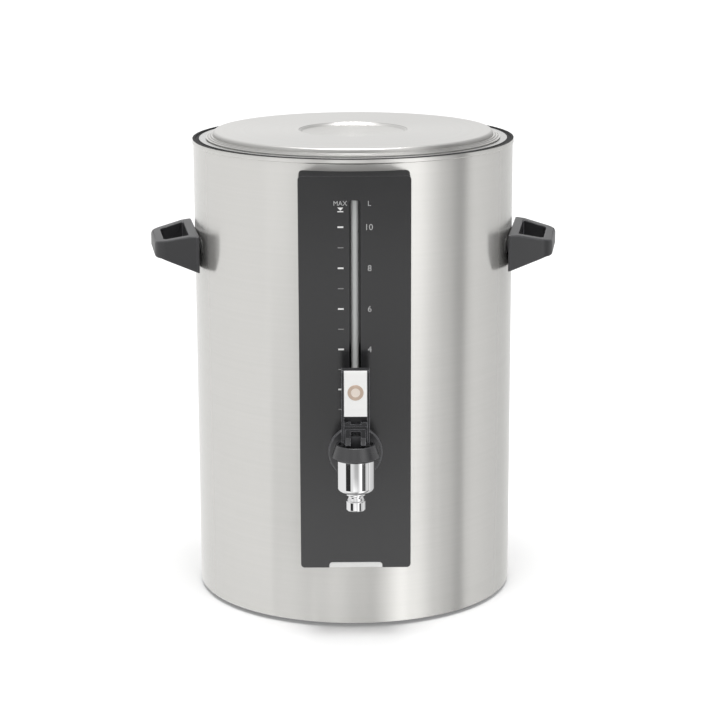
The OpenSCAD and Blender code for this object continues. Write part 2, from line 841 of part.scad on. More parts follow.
module panel_screw_places() {
    for (sx = [-1, 1], z = [panel_z0 + boss_inset, panel_z1 - boss_inset])
        translate([sx * boss_x, 0, z]) children();
}

module front_panel() {
    mid_z = (panel_z0 + panel_z1) / 2;
    panel_h = panel_z1 - panel_z0;
    back_y = panel_y + channel_depth;
    color(black) difference() {
        union() {
            difference() {
                translate([0, 0, mid_z]) wall_xz(panel_y, panel_back_y)
                    round_rect(panel_w, panel_h, panel_corner);
                translate([0, 0, mid_z]) wall_xz(panel_y + panel_wall, panel_back_y + 1)
                    round_rect(panel_w - 2 * panel_wall, panel_h - 2 * panel_wall, panel_corner - 1);
            }
            panel_screw_places() rod_y(0, 0, boss_r, panel_y + panel_wall / 2, panel_back_y);
            block([-channel_in_w / 2 - channel_wall, panel_y + panel_wall / 2, slot_z0 - 5],
                [channel_in_w / 2 + channel_wall, back_y, gauge_end_z + channel_wall]);
        }
        translate([0, 0, panel_z0 - 10]) cylinder(r = body_r + seat_gap, h = panel_h + 20, $fn = 180);
        block([-channel_in_w / 2, panel_y + panel_wall, slot_z0 - 6],
            [channel_in_w / 2, back_y - channel_wall, gauge_end_z]);
        translate([0, 0, (slot_z0 + slot_z1) / 2]) wall_xz(panel_y - 1, panel_y + panel_wall + 1)
            round_rect(slot_w, slot_z1 - slot_z0, 2);
        rod_y(0, inlet_z, shank_r + 0.3, panel_y - 1, panel_y + panel_wall + 1);
        panel_screw_places() rod_y(0, 0, screw_r + run_gap, panel_y + panel_wall, panel_back_y);
        translate([0, 0, panel_z0]) wall_xz(panel_y - 1, panel_y + panel_wall + 1)
            round_rect(notch_w, 2 * notch_h, 3);
        block([-notch_w / 2, panel_y - 1, panel_z0 - 1],
            [notch_w / 2, panel_back_y, panel_z0 + panel_wall + 0.5]);
    }
}

module panel_clip() {
    g = seat_gap;
    tongue_half = notch_w / 2 - 4;
    tongue_y = -sqrt(pow(body_r + seat_gap, 2) - pow(tongue_half, 2)) - g;
    color("white") {
        intersection() {
            translate([0, 0, panel_z0 + 0.2]) wall_xz(panel_y + 0.1, panel_y + panel_wall + 1.5)
                round_rect(notch_w - 2 * g, 2 * (notch_h - g - 0.2), 3 - g);
            block([-notch_w, panel_y, panel_z0 + 0.2], [notch_w, 0, panel_z1]);
        }
        difference() {
            block([-tongue_half, panel_y + panel_wall + 1, panel_z0 + 0.2],
                [tongue_half, -body_r + 30, panel_z0 + panel_wall]);
            translate([0, 0, panel_z0 - 1]) cylinder(r = body_r + seat_gap, h = 10, $fn = 180);
        }
    }
}

module panel_screws() {
    seat_y = -sqrt(pow(shell_in_r, 2) - pow(boss_x + screw_head_r, 2)) + run_gap;
    color(steel) panel_screw_places() {
        rod_y(0, 0, screw_head_r, seat_y, seat_y + screw_head_h);
        rod_y(0, 0, screw_r, panel_y + panel_proud / 2, seat_y);
    }
}

module scale_marks() {
    color("white") translate([-mark_x, 0, 0]) {
        for (n = [1:litres]) scale_bar(tank_floor_z + n * litre_mm, n % 2 == 0 ? 2 : 1.2);
        scale_bar(fill_z, 0.9);
        translate([0, 0, fill_z + 0.9]) wall_xz(panel_y - mark_raise, panel_y)
            polygon([[0, 0], [mark_l / 2, 2.8], [-mark_l / 2, 2.8]]);
    }
}

module scale_bar(z, h) {
    block([-mark_l / 2, panel_y - mark_raise, z - h / 2], [mark_l / 2, panel_y, z + h / 2]);
}

// ---------- gauge ----------

glass_up = 11;
block_up = 17;
glass_z0 = inlet_z + glass_up;
block_top_z = inlet_z + block_up;
gauge_half = 9;

module gauge_glass() {
    color([0.8, 0.85, 0.88, 0.5]) translate([0, glass_y, 0])
        ring(glass_r, glass_r - glass_wall, glass_z0, slot_z1 + 5);
}

module gauge_block() {
    color(chrome) difference() {
        block([-gauge_half, panel_y + panel_wall + 0.3, inlet_z - 10], [gauge_half, glass_y + 7, block_top_z]);
        rod_y(0, inlet_z, shank_r + run_gap, panel_y, glass_y + 8);
        translate([0, glass_y, glass_z0 - 0.2]) cylinder(r = glass_r + seat_gap, h = block_up);
        translate([0, glass_y, inlet_z]) cylinder(r = glass_r - glass_wall, h = 20);
        translate([0, glass_y, block_top_z - 4]) cylinder(r = glass_r + 1.5, h = 5);
    }
}

module gauge_seals() {
    color(silicone) translate([0, glass_y, 0]) {
        ring(glass_r + 1.5 - run_gap, glass_r + run_gap, block_top_z - 4, block_top_z - 0.2);
        ring(glass_r + 1.5 - run_gap, glass_r + run_gap, slot_z1 + 1, slot_z1 + 4);
    }
}

module gauge_cap() {
    color(black) difference() {
        block([-channel_in_w / 2 + seat_gap, panel_y + panel_wall + seat_gap, slot_z1 + 0.8],
            [channel_in_w / 2 - seat_gap, panel_y + channel_depth - channel_wall - seat_gap,
                gauge_end_z - seat_gap]);
        translate([0, glass_y, slot_z1]) cylinder(r = glass_r + seat_gap, h = 5.2);
        translate([0, glass_y, slot_z1]) cylinder(r = glass_r + 1.5, h = 4);
        translate([0, glass_y, slot_z1]) cylinder(r = 1.5, h = 20, $fn = 32);
    }
}

// ---------- inlet line ----------

module escutcheon() {
    color(black) difference() {
        union() {
            rod_y(0, inlet_z, escutcheon_r - 1, panel_y - escutcheon_t, panel_y);
            rod_y(0, inlet_z, escutcheon_r, panel_y - escutcheon_t + 1, panel_y);
        }
        rod_y(0, inlet_z, shank_r + 0.3, panel_y - escutcheon_t - 1, panel_y + 1);
    }
}

module outlet_elbow() {
    color(steel) difference() {
        union() {
            translate([0, elbow_y, elbow_z0]) cylinder(r = elbow_r, h = floor_under_z - elbow_z0);
            translate([0, elbow_y, floor_under_z - elbow_flange_t])
                cylinder(r = elbow_flange_r, h = elbow_flange_t);
            rod_y(0, inlet_z, elbow_boss_r, elbow_y - elbow_r - elbow_boss_l + 8, elbow_y);
        }
        translate([0, elbow_y, elbow_z0 + 3]) cylinder(r = elbow_bore_r, h = 60);
        rod_y(0, inlet_z, shank_r + run_gap, elbow_y - elbow_r - elbow_boss_l, elbow_y);
    }
}

module inlet_shank() {
    color(chrome) difference() {
        rod_y(0, inlet_z, shank_r, shank_y0, shank_y1);
        rod_y(0, inlet_z, shank_bore_r, shank_y0 - 1, shank_y1 + 1);
        translate([0, glass_y, inlet_z]) cylinder(r = glass_r - glass_wall, h = 20);
    }
}

nut_y = -sqrt(pow(shell_in_r, 2) - pow(nut_flat_r + 2, 2)) + run_gap;
washer_t = 1.5;

module shank_nut() {
    color(chrome) translate([0, nut_y + washer_t, inlet_z]) rotate([-90, 0, 0])
        hex_nut(nut_flat_r, shank_r + run_gap, nut_t);
}

module shank_seals() {
    elbow_face = elbow_y - elbow_r - elbow_boss_l + 8;
    color(silicone) {
        difference() {
            rod_y(0, inlet_z, nut_flat_r + 2, nut_y, nut_y + washer_t);
            rod_y(0, inlet_z, shank_r + run_gap, nut_y - 1, nut_y + washer_t + 1);
        }
        difference() {
            rod_y(0, inlet_z, elbow_boss_r, elbow_face - washer_t, elbow_face);
            rod_y(0, inlet_z, shank_r + run_gap, elbow_face - washer_t - 1, elbow_face + 1);
        }
    }
}

// ---------- tap ----------

module tap_body() {
    color(chrome) difference() {
        union() {
            translate([0, tap_y, 0]) rotate_extrude() {
                union() {
                    translate([0, barrel_z0]) square([barrel_r - barrel_round, 6]);
                    translate([0, barrel_z0 + barrel_round])
                        square([barrel_r, collar_foot_z - barrel_z0 - barrel_round]);
                    translate([barrel_r - barrel_round, barrel_z0 + barrel_round])
                        circle(r = barrel_round, $fn = 48);
                    translate([0, collar_foot_z - 1]) square([neck_r, neck_top_z - collar_foot_z + 1]);
                }
            }
            rod_y(0, inlet_z, arm_r, tap_y + neck_in_r, arm_y1 - 0.5);
            rod_y(0, inlet_z, arm_flange_r, arm_y1 - arm_flange_t, arm_y1);
        }
        translate([0, tap_y, seat_z]) difference() {
            cylinder(r = neck_in_r, h = 60);
            cylinder(r = spout_bore_r + 1.5, h = seat_lip);
        }
        translate([0, tap_y, barrel_z0 - 1]) cylinder(r = spout_bore_r + 0.5, h = 20);
        rod_y(0, inlet_z, shank_bore_r, tap_y, arm_y1 + 1);
        rod_y(0, inlet_z, shank_r + run_gap, shank_y0 - 0.1, arm_y1 + 1);
    }
}

module spout_nozzle() {
    z1 = barrel_z0;
    z0 = barrel_z0 - spout_l;
    waist_z = z0 + 0.6 * spout_l;
    ring_z = z0 + 0.83 * spout_l;
    color(chrome) translate([0, tap_y, 0]) rotate_extrude() difference() {
        polygon([[0, z0], [nozzle_r - 1.2, z0], [nozzle_r, z0 + 1.4], [nozzle_r, waist_z - 1.7],
            [nozzle_r - 1, waist_z - 0.7], [nozzle_r - 1.9, waist_z + 1.9], [nozzle_r - 1.9, ring_z - 1.125],
            [nozzle_r - 0.1, ring_z + 0.075], [nozzle_r - 0.1, z1 - 1.5], [nozzle_r + 0.9, z1], [0, z1]]);
        translate([-1, z0 - 1]) square([spout_bore_r + 1, spout_l + 2]);
    }
}

module tap_collar() {
    color(black) difference() {
        translate([0, tap_y, 0]) rotate_extrude() polygon([
            [neck_r + run_gap, collar_foot_z], [barrel_r + 0.4, collar_foot_z],
            [collar_wide_r, collar_wide_z], [collar_rim_r, collar_rim_z - 0.6],
            [collar_rim_r - 0.6, collar_rim_z], [recess_r, collar_rim_z], [recess_r, recess_floor_z],
            [stem_r + run_gap, recess_floor_z], [stem_r + run_gap, neck_top_z],
            [neck_r + run_gap, neck_top_z]]);
        rod_y(0, inlet_z, arm_r + 0.2, tap_y, tap_y + tap_reach);
        block([-arm_r - 0.2, tap_y, collar_foot_z - 1], [arm_r + 0.2, tap_y + tap_reach, inlet_z + 0.2]);
    }
}

cup_z = seat_z + seat_lip;
flange_top_z = cup_z + cup_h + plug_flange_h;

module valve_stem() {
    color(steel) translate([0, tap_y, 0]) difference() {
        union() {
            translate([0, 0, cup_z + 1.5]) cylinder(r = stem_r, h = recess_floor_z + 0.6 - cup_z - 1.5);
            translate([0, 0, cup_z + cup_h]) cylinder(r = plug_flange_r, h = plug_flange_h);
            block([-tongue_w / 2, -tongue_t / 2, recess_floor_z + free_gap],
                [tongue_w / 2, tongue_t / 2, pin_z + tongue_up]);
        }
        translate([-tongue_w, 0, pin_z]) rotate([0, 90, 0])
            cylinder(r = pin_r + run_gap, h = 2 * tongue_w, $fn = 32);
    }
}

module seat_cup() {
    color(silicone) translate([0, tap_y, 0]) rotate_extrude() difference() {
        polygon([[0, cup_z], [cup_r - 1.5, cup_z], [cup_r, cup_z + 1.5], [cup_r - 1, cup_z + cup_h],
            [0, cup_z + cup_h]]);
        translate([-1, cup_z + 1.4]) square([stem_r + run_gap + 1, cup_h]);
    }
}

module valve_spring() {
    spring_z0 = flange_top_z + spring_wire_r + 0.1;
    spring_z1 = neck_top_z - spring_wire_r - 0.1;
    steps = spring_turns * 16;
    coil = [for (i = [0:steps]) let (a = 360 * spring_turns * i / steps)
        [spring_r * cos(a), spring_r * sin(a), spring_z0 + (spring_z1 - spring_z0) * i / steps]];
    color("silver") translate([0, tap_y, 0]) tube_along(coil, spring_wire_r, 6);
}

// ---------- lever ----------

// The foot that bears on the collar: each point's height under the pin grows evenly
// with the lever's angle, so the valve lifts in step with it
function cam_rise() = valve_lift / lever_travel * 180 / PI;
function cam_point(a) = let (p = pin_h - free_gap + cam_rise() * a * PI / 180, q = cam_rise())
    [p * sin(a) + q * cos(a), -p * cos(a) + q * sin(a)];

module cam_outline() {
    rear = lever_t - lever_front;
    polygon(concat([[-rear, -pin_h + free_gap]], [for (i = [0:12]) cam_point(i * lever_travel / 12)],
        [[lever_front, 3], [lever_front, slot_up + 2], [-rear, slot_up + 2]]));
}

module at_pin() {
    translate([0, tap_y, pin_z]) children();
}

module tap_lever() {
    half = lever_w / 2;
    rear = lever_t - lever_front;
    plate_foot = lever_h - plate_l;
    color(black) at_pin() difference() {
        union() {
            slice_x(-cam_w / 2, cam_w / 2) cam_outline();
            slice_x(-half, half) polygon([[-rear, -3], [lever_front - 0.4, -3],
                [lever_front - 0.4, plate_foot - recess_gap_h - cross_bar_h],
                [lever_front + 0.8, plate_foot - recess_gap_h - cross_bar_h],
                [lever_front + 0.8, plate_foot - recess_gap_h],
                [lever_front - 3, plate_foot - recess_gap_h], [lever_front - 3, plate_foot],
                [lever_front, plate_foot], [lever_front, lever_h], [-rear + 1.5, lever_h],
                [-rear, lever_h - 1.5]]);
            for (mid = [-1, 1] * (half - rail_w / 2)) slice_x(mid - rail_w / 2, mid + rail_w / 2)
                polygon([[0, -3.4], [lever_front, -3.4], [lever_front + plate_t, 0],
                    [lever_front + plate_t, lever_h - 2], [lever_front - 0.5, lever_h], [0, lever_h]]);
        }
        block([-tongue_w / 2 - 0.4, -20, -12], [tongue_w / 2 + 0.4, 20, slot_up]);
        translate([-lever_w, 0, 0]) rotate([0, 90, 0])
            cylinder(r = pin_r + run_gap / 2, h = 2 * lever_w, $fn = 32);
        block([-4.6, -20, plate_foot - recess_gap_h - 1.8],
            [4.6, -lever_front + 3, plate_foot - recess_gap_h + 1]);
    }
}

module lever_plate() {
    half = plate_w / 2;
    plate_foot = lever_h - plate_l;
    color(steel) at_pin() slice_x(-half, half)
        polygon([[lever_front, plate_foot], [lever_front + plate_t, plate_foot],
            [lever_front + plate_t, lever_h - 3.4], [lever_front + 0.5, lever_h - 0.4],
            [lever_front, lever_h - 0.4]]);
}

module lever_badge() {
    color("peru") at_pin()
        rod_y(0, lever_h - 20.3, badge_d / 2, -lever_front - plate_t - badge_t, -lever_front - plate_t);
}

module lever_pin() {
    color(steel) at_pin() translate([-lever_w / 2 + 0.2, 0, 0]) rotate([0, 90, 0])
        cylinder(r = pin_r, h = lever_w - 0.4, $fn = 32);
}

// ---------- lid ----------

// Lid section for a surface that lies s inside the outer one: radius and height
function lid_section(s) = concat(
    [[brim_r, brim_z + (s > 0 ? 0 : lid_sheet)]],
    [for (i = [1:2]) each [[brim_r - i * brim_step_w - s, brim_z + lid_sheet + (i - 1) * brim_step_h - s],
        [brim_r - i * brim_step_w - s, brim_z + lid_sheet + i * brim_step_h - s]]],
    [[cap_r - s, brim_z + lid_sheet + 2 * brim_step_h - s]],
    [for (a = [0:15:90]) [cap_r - cap_round + (cap_round - s) * cos(a),
        cap_top_z - cap_round + (cap_round - s) * sin(a)]],
    dish_section(s));

// The dish: a short steep lip, then a shallow bowl down to the middle
function dish_section(s) = let (lip_drop = 2.6)
    concat([[dish_r - s, cap_top_z - s], [dish_r - dish_lip * 0.4 - s, cap_top_z - 0.4 * lip_drop - s],
        [dish_r - dish_lip - s, cap_top_z - lip_drop - s]],
        [for (i = [1:10]) let (x = 1 - i / 10)
            [(dish_r - dish_lip - s) * x, cap_top_z - lip_drop - (dish_depth - lip_drop) * (1 - x * x) - s]]);

module lid_shell() {
    outer = lid_section(0);
    inner = lid_section(lid_sheet);
    color(steel) rotate_extrude($fn = 120)
        polygon(concat(outer, [for (i = [len(inner) - 1:-1:0]) inner[i]]));
}

module lid_pan() {
    top = cap_top_z - lid_sheet;
    color(steel) rotate_extrude() polygon([[0, pan_z], [pan_r, pan_z], [pan_r, top], [pan_r - pan_wall, top],
        [pan_r - pan_wall, pan_z + pan_wall], [0, pan_z + pan_wall]]);
}

module lid_insulation() {
    z0 = pan_z + pan_wall;
    color("khaki") translate([0, 0, z0])
        cylinder(r = pan_r - pan_wall - seat_gap, h = cap_top_z - dish_depth - lid_sheet - 0.3 - z0);
}

module lid_seal() {
    color(silicone) ring(brim_r - 1.5, pan_r + 3.8, flange_z + tank_wall, brim_z);
}

outer_shell();
base_plate();
rubber_feet();
inner_tank();
tank_studs();
insulation_jacket();
rim_ring();
heater_plate();
heating_element();
element_clamp();
stud_nuts();
shield_spacers();
heat_shield();
thermostat();
boil_dry_cutout();
sensor_strap();
terminal_block();
inlet_housing();
power_inlet();
switch_frame();
switch_rocker();
lead_wires();
handle_left();
handle_right();
handle_backings();
handle_screws();
front_panel();
panel_clip();
panel_screws();
scale_marks();
gauge_glass();
gauge_block();
gauge_seals();
gauge_cap();
escutcheon();
outlet_elbow();
inlet_shank();
shank_nut();
shank_seals();
tap_body();
spout_nozzle();
tap_collar();
valve_stem();
seat_cup();
valve_spring();
tap_lever();
lever_plate();
lever_badge();
lever_pin();
lid_shell();
lid_pan();
lid_insulation();
lid_seal();
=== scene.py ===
import logging
import math
from dataclasses import dataclass, field
from enum import Enum
from functools import partial
from typing import Callable, Dict, List, Optional, Sequence, Tuple, Union

import bmesh
import bpy
from mathutils import Matrix, Vector


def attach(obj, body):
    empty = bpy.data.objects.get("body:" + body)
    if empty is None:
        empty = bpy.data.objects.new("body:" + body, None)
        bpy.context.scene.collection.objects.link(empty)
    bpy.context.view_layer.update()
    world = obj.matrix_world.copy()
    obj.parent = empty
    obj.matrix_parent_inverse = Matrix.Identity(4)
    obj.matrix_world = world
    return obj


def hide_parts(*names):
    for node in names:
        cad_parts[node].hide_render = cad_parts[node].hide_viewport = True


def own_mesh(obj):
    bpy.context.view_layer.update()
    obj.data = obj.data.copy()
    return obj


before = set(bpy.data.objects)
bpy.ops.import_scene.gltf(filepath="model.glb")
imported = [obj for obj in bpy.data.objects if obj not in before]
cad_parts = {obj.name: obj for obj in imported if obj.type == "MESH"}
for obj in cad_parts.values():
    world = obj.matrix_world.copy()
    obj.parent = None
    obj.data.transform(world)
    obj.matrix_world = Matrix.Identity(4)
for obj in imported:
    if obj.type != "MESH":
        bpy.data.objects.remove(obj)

LOG = logging.getLogger("urn")
MM = 0.001
Pair = Tuple[float, float]
Colour = Tuple[float, float, float]
Solid = bmesh.types.BMesh
Tree = bpy.types.NodeTree
Socket = bpy.types.NodeSocket
Feeds = Dict[Union[str, int], object]
Results = Dict[str, Socket]


class Turn(Enum):
    """The axis that a turned piece is turned about."""

    UPRIGHT = (0.0, 0.0, 1.0)
    FORWARD = (0.0, 1.0, 0.0)


class Grain(Enum):
    """The way in which a metal's brush lines run, as the scale of a pattern in X, Y and Z.

    For lines round the middle, the third scale is for the distance from the upright axis.
    """

    AROUND = (9.0, 9.0, 2600.0)
    UP = (1500.0, 1500.0, 14.0)
    ACROSS = (14.0, 900.0, 1800.0)
    ROUND_THE_MIDDLE = (6.0, 6.0, 1900.0)


# ---------------------------------------------------------------- mesh shop


def arc(middle: Pair, radius: float, start: float, end: float, steps: int = 8) -> List[Pair]:
    """Points on an arc of an outline.

    Args:
        middle: The arc's middle, as radius and height in millimetres.
        radius: The arc's radius.
        start: Its first angle in degrees, from outward towards up.
        end: Its last angle in degrees.
        steps: How many steps it has.

    Returns:
        The points, first to last.
    """
    angles = [math.radians(start + (end - start) * i / steps) for i in range(steps + 1)]
    return [(middle[0] + radius * math.cos(a), middle[1] + radius * math.sin(a)) for a in angles]


def turned(outline: Sequence[Pair], turn: Turn = Turn.UPRIGHT, middle: Tuple[float, float, float] = (0, 0, 0),
           steps: int = 96, closed: bool = True) -> Solid:
    """Turns an outline into a round solid, as on a lathe.

    Args:
        outline: Points as distance from the axis and place along it, in millimetres.
        turn: The axis.
        middle: A point on the axis.
        steps: How many steps make the full turn.
        closed: Whether the last point joins the first.

    Returns:
        The solid, with its normals outward.
    """
    bm = bmesh.new()
    verts = []
    for away, along in outline:
        place = (away, 0, along) if turn is Turn.UPRIGHT else (away, along, 0)
        verts.append(bm.verts.new(Vector(place) + Vector(middle)))
    edges = [bm.edges.new(pair) for pair in zip(verts, verts[1:])]
    if closed:
        edges.append(bm.edges.new((verts[-1], verts[0])))
    bmesh.ops.spin(bm, geom=verts + edges, cent=middle, axis=turn.value, dvec=(0, 0, 0),
                   angle=math.tau, steps=steps, use_merge=True, use_normal_flip=False, use_duplicate=False)
    bmesh.ops.remove_doubles(bm, verts=bm.verts[:], dist=0.0005)
    bmesh.ops.recalc_face_normals(bm, faces=bm.faces[:])
    return bm


def merged(node: str, flat: float = 0.6) -> Solid:
    """A copy of a node's solid in millimetres, with its loose triangles joined.

    Args:
        node: The node's name.
        flat: Faces that meet at less than this angle, in degrees, become one.

    Returns:
        The joined mesh.
    """
    bm = bmesh.new()
    bm.from_mesh(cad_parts[node].data)
    bmesh.ops.scale(bm, vec=(1 / MM,) * 3, verts=bm.verts[:])
    bmesh.ops.remove_doubles(bm, verts=bm.verts[:], dist=0.002)
    bmesh.ops.dissolve_limit(bm, angle_limit=math.radians(flat), use_dissolve_boundaries=False,
                             verts=bm.verts[:], edges=bm.edges[:], delimit=set())
    return bm


def sharp_edges(bm: Solid, angle: float = 30.0,
                where: Optional[Callable[[Vector], bool]] = None) -> List[bmesh.types.BMEdge]:
    """The edges where two faces meet sharply.

    Args:
        bm: The mesh.
        angle: The least angle between the faces, in degrees.
        where: A test of an edge's middle, in millimetres.

    Returns:
        The edges.
    """
    found = []
    for edge in bm.edges:
        if len(edge.link_faces) == 2 and edge.calc_face_angle(0.0) > math.radians(angle):
            if where is None or where((edge.verts[0].co + edge.verts[1].co) / 2):
                found.append(edge)
    return found


def soften(bm: Solid, width: float, segments: int = 2, angle: float = 30.0,
           where: Optional[Callable[[Vector], bool]] = None, careful: bool = True) -> Solid:
    """Rounds a solid's sharp edges.

    Args:
        bm: The mesh.
        width: How far the rounding reaches from the edge, in millimetres.
        segments: How many facets it has.
        angle: The least angle of an edge that is rounded, in degrees.
        where: A test of an edge's middle.
        careful: Whether short edges nearby hold the rounding back.

    Returns:
        The same mesh.
    """
    edges = sharp_edges(bm, angle, where)
    if edges:
        bmesh.ops.bevel(bm, geom=edges, offset=width, offset_type="OFFSET", segments=segments, profile=0.5,
                        affect="EDGES", clamp_overlap=careful, material=-1, loop_slide=True)
    return bm


def joined(parts: Sequence[Solid]) -> Solid:
    """Puts several meshes into one.

    Args:
        parts: The meshes, which are freed.

    Returns:
        One mesh that holds them all.
    """
    whole = bmesh.new()
    for part in parts:
        mesh = bpy.data.meshes.new("part")
        part.to_mesh(mesh)
        part.free()
        whole.from_mesh(mesh)
        bpy.data.meshes.remove(mesh)
    return whole


def corner_normals(bm: Solid, smooth: float) -> List[Vector]:
    """A normal for every corner, weighted by face area, so that flat faces stay flat beside rounded edges.

    Args:
        bm: The mesh.
        smooth: Faces that meet at a greater angle than this, in degrees, stay crisp.

    Returns:
        The normals, face by face and corner by corner.
    """
    least = math.cos(math.radians(smooth))
    bm.normal_update()
    area = {face: face.calc_area() for face in bm.faces}
    normals = []
    for face in bm.faces:
        own = face.normal
        for loop in face.loops:
            total = Vector()
            for other in loop.vert.link_faces:
                if own.dot(other.normal) > least:
                    total += other.normal * area[other]
            normals.append(total.normalized() if total.length > 0 else own.copy())
    return normals


def placed(name: str, data: bpy.types.ID) -> bpy.types.Object:
    """Makes an object of some data and puts it in the scene.

    Args:
        name: The object's name.
        data: Its mesh, lettering, lamp or camera.

    Returns:
        The object.
    """
    thing = bpy.data.objects.new(name, data)
    bpy.context.scene.collection.objects.link(thing)
    return thing


def piece(name: str, bm: Solid, finish: "Finish", body: str, replaces: Sequence[str] = (),
          smooth: float = 32.0) -> bpy.types.Object:
    """Makes a finished piece out of a mesh in millimetres.

    Args:
        name: The piece's name.
        bm: Its mesh, which is freed.
        finish: Its finish.
        body: The body it rides on.
        replaces: The nodes it stands for.
        smooth: Edges sharper than this angle, in degrees, stay crisp.

    Returns:
        The object.
    """
    bmesh.ops.scale(bm, vec=(MM,) * 3, verts=bm.verts[:])
    mesh = bpy.data.meshes.new(name)
    normals = corner_normals(bm, smooth)
    bm.to_mesh(mesh)
    bm.free()
    mesh.shade_smooth()
    mesh.normals_split_custom_set(normals)
    mesh.materials.append(finish.material())
    thing = placed(name, mesh)
    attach(thing, body)
    if replaces:
        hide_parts(*replaces)
    LOG.info("piece %s: %d faces on %s", name, len(mesh.polygons), body)
    return thing


def rounded(name: str, node: str, finish: "Finish", body: str, edge: float = 0.3, segments: int = 2,
            angle: float = 40.0) -> None:
    """Makes a piece of a node's own shape, with rounded edges.

    Args:
        name: The piece's name.
        node: The node it stands for.
        finish: Its finish.
        body: The body it rides on.
        edge: How far the rounding reaches, in millimetres.
        segments: How many facets the rounding has.
        angle: The least angle of an edge that is rounded, in degrees.
    """
    piece(name, soften(merged(node), edge, segments, angle), finish, body, [node])


def dress(node: str, finish: "Finish") -> None:
    """Gives a node of the frame its finish.

    Args:
        node: The node's name.
        finish: The finish for all of its faces.
    """
    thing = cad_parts[node]
    if not thing.material_slots:
        thing.data.materials.append(finish.material())
    for place in thing.material_slots:
        place.material = finish.material()
    LOG.info("node %s: %s", node, finish.slot)


# ---------------------------------------------------------------- shared effects


def add_node(tree: Tree, kind: str, feeds: Optional[Feeds] = None,
             **settings: object) -> bpy.types.Node:
    """Adds a node to a tree.

    Args:
        tree: The tree.
        kind: The node's kind, without the "ShaderNode" that all of them start with.
        feeds: A value or a socket for each input that is set, by the input's name or number.
        **settings: The node's own settings.

    Returns:
        The node.
    """
    node = tree.nodes.new("ShaderNode" + kind)
    for name, value in settings.items():
        setattr(node, name, value)
    for label, value in (feeds or {}).items():
        if isinstance(value, Socket):
            tree.links.new(value, node.inputs[label])
        else:
            node.inputs[label].default_value = value
    return node


def add_sum(tree: Tree, operation: str, *values: object) -> Socket:
    """Adds a sum to a tree.

    Args:
        tree: The tree.
        operation: The Math node's operation.
        *values: The values or sockets that it works on.

    Returns:
        The result's socket.
    """
    return add_node(tree, "Math", dict(enumerate(values)), operation=operation).outputs[0]


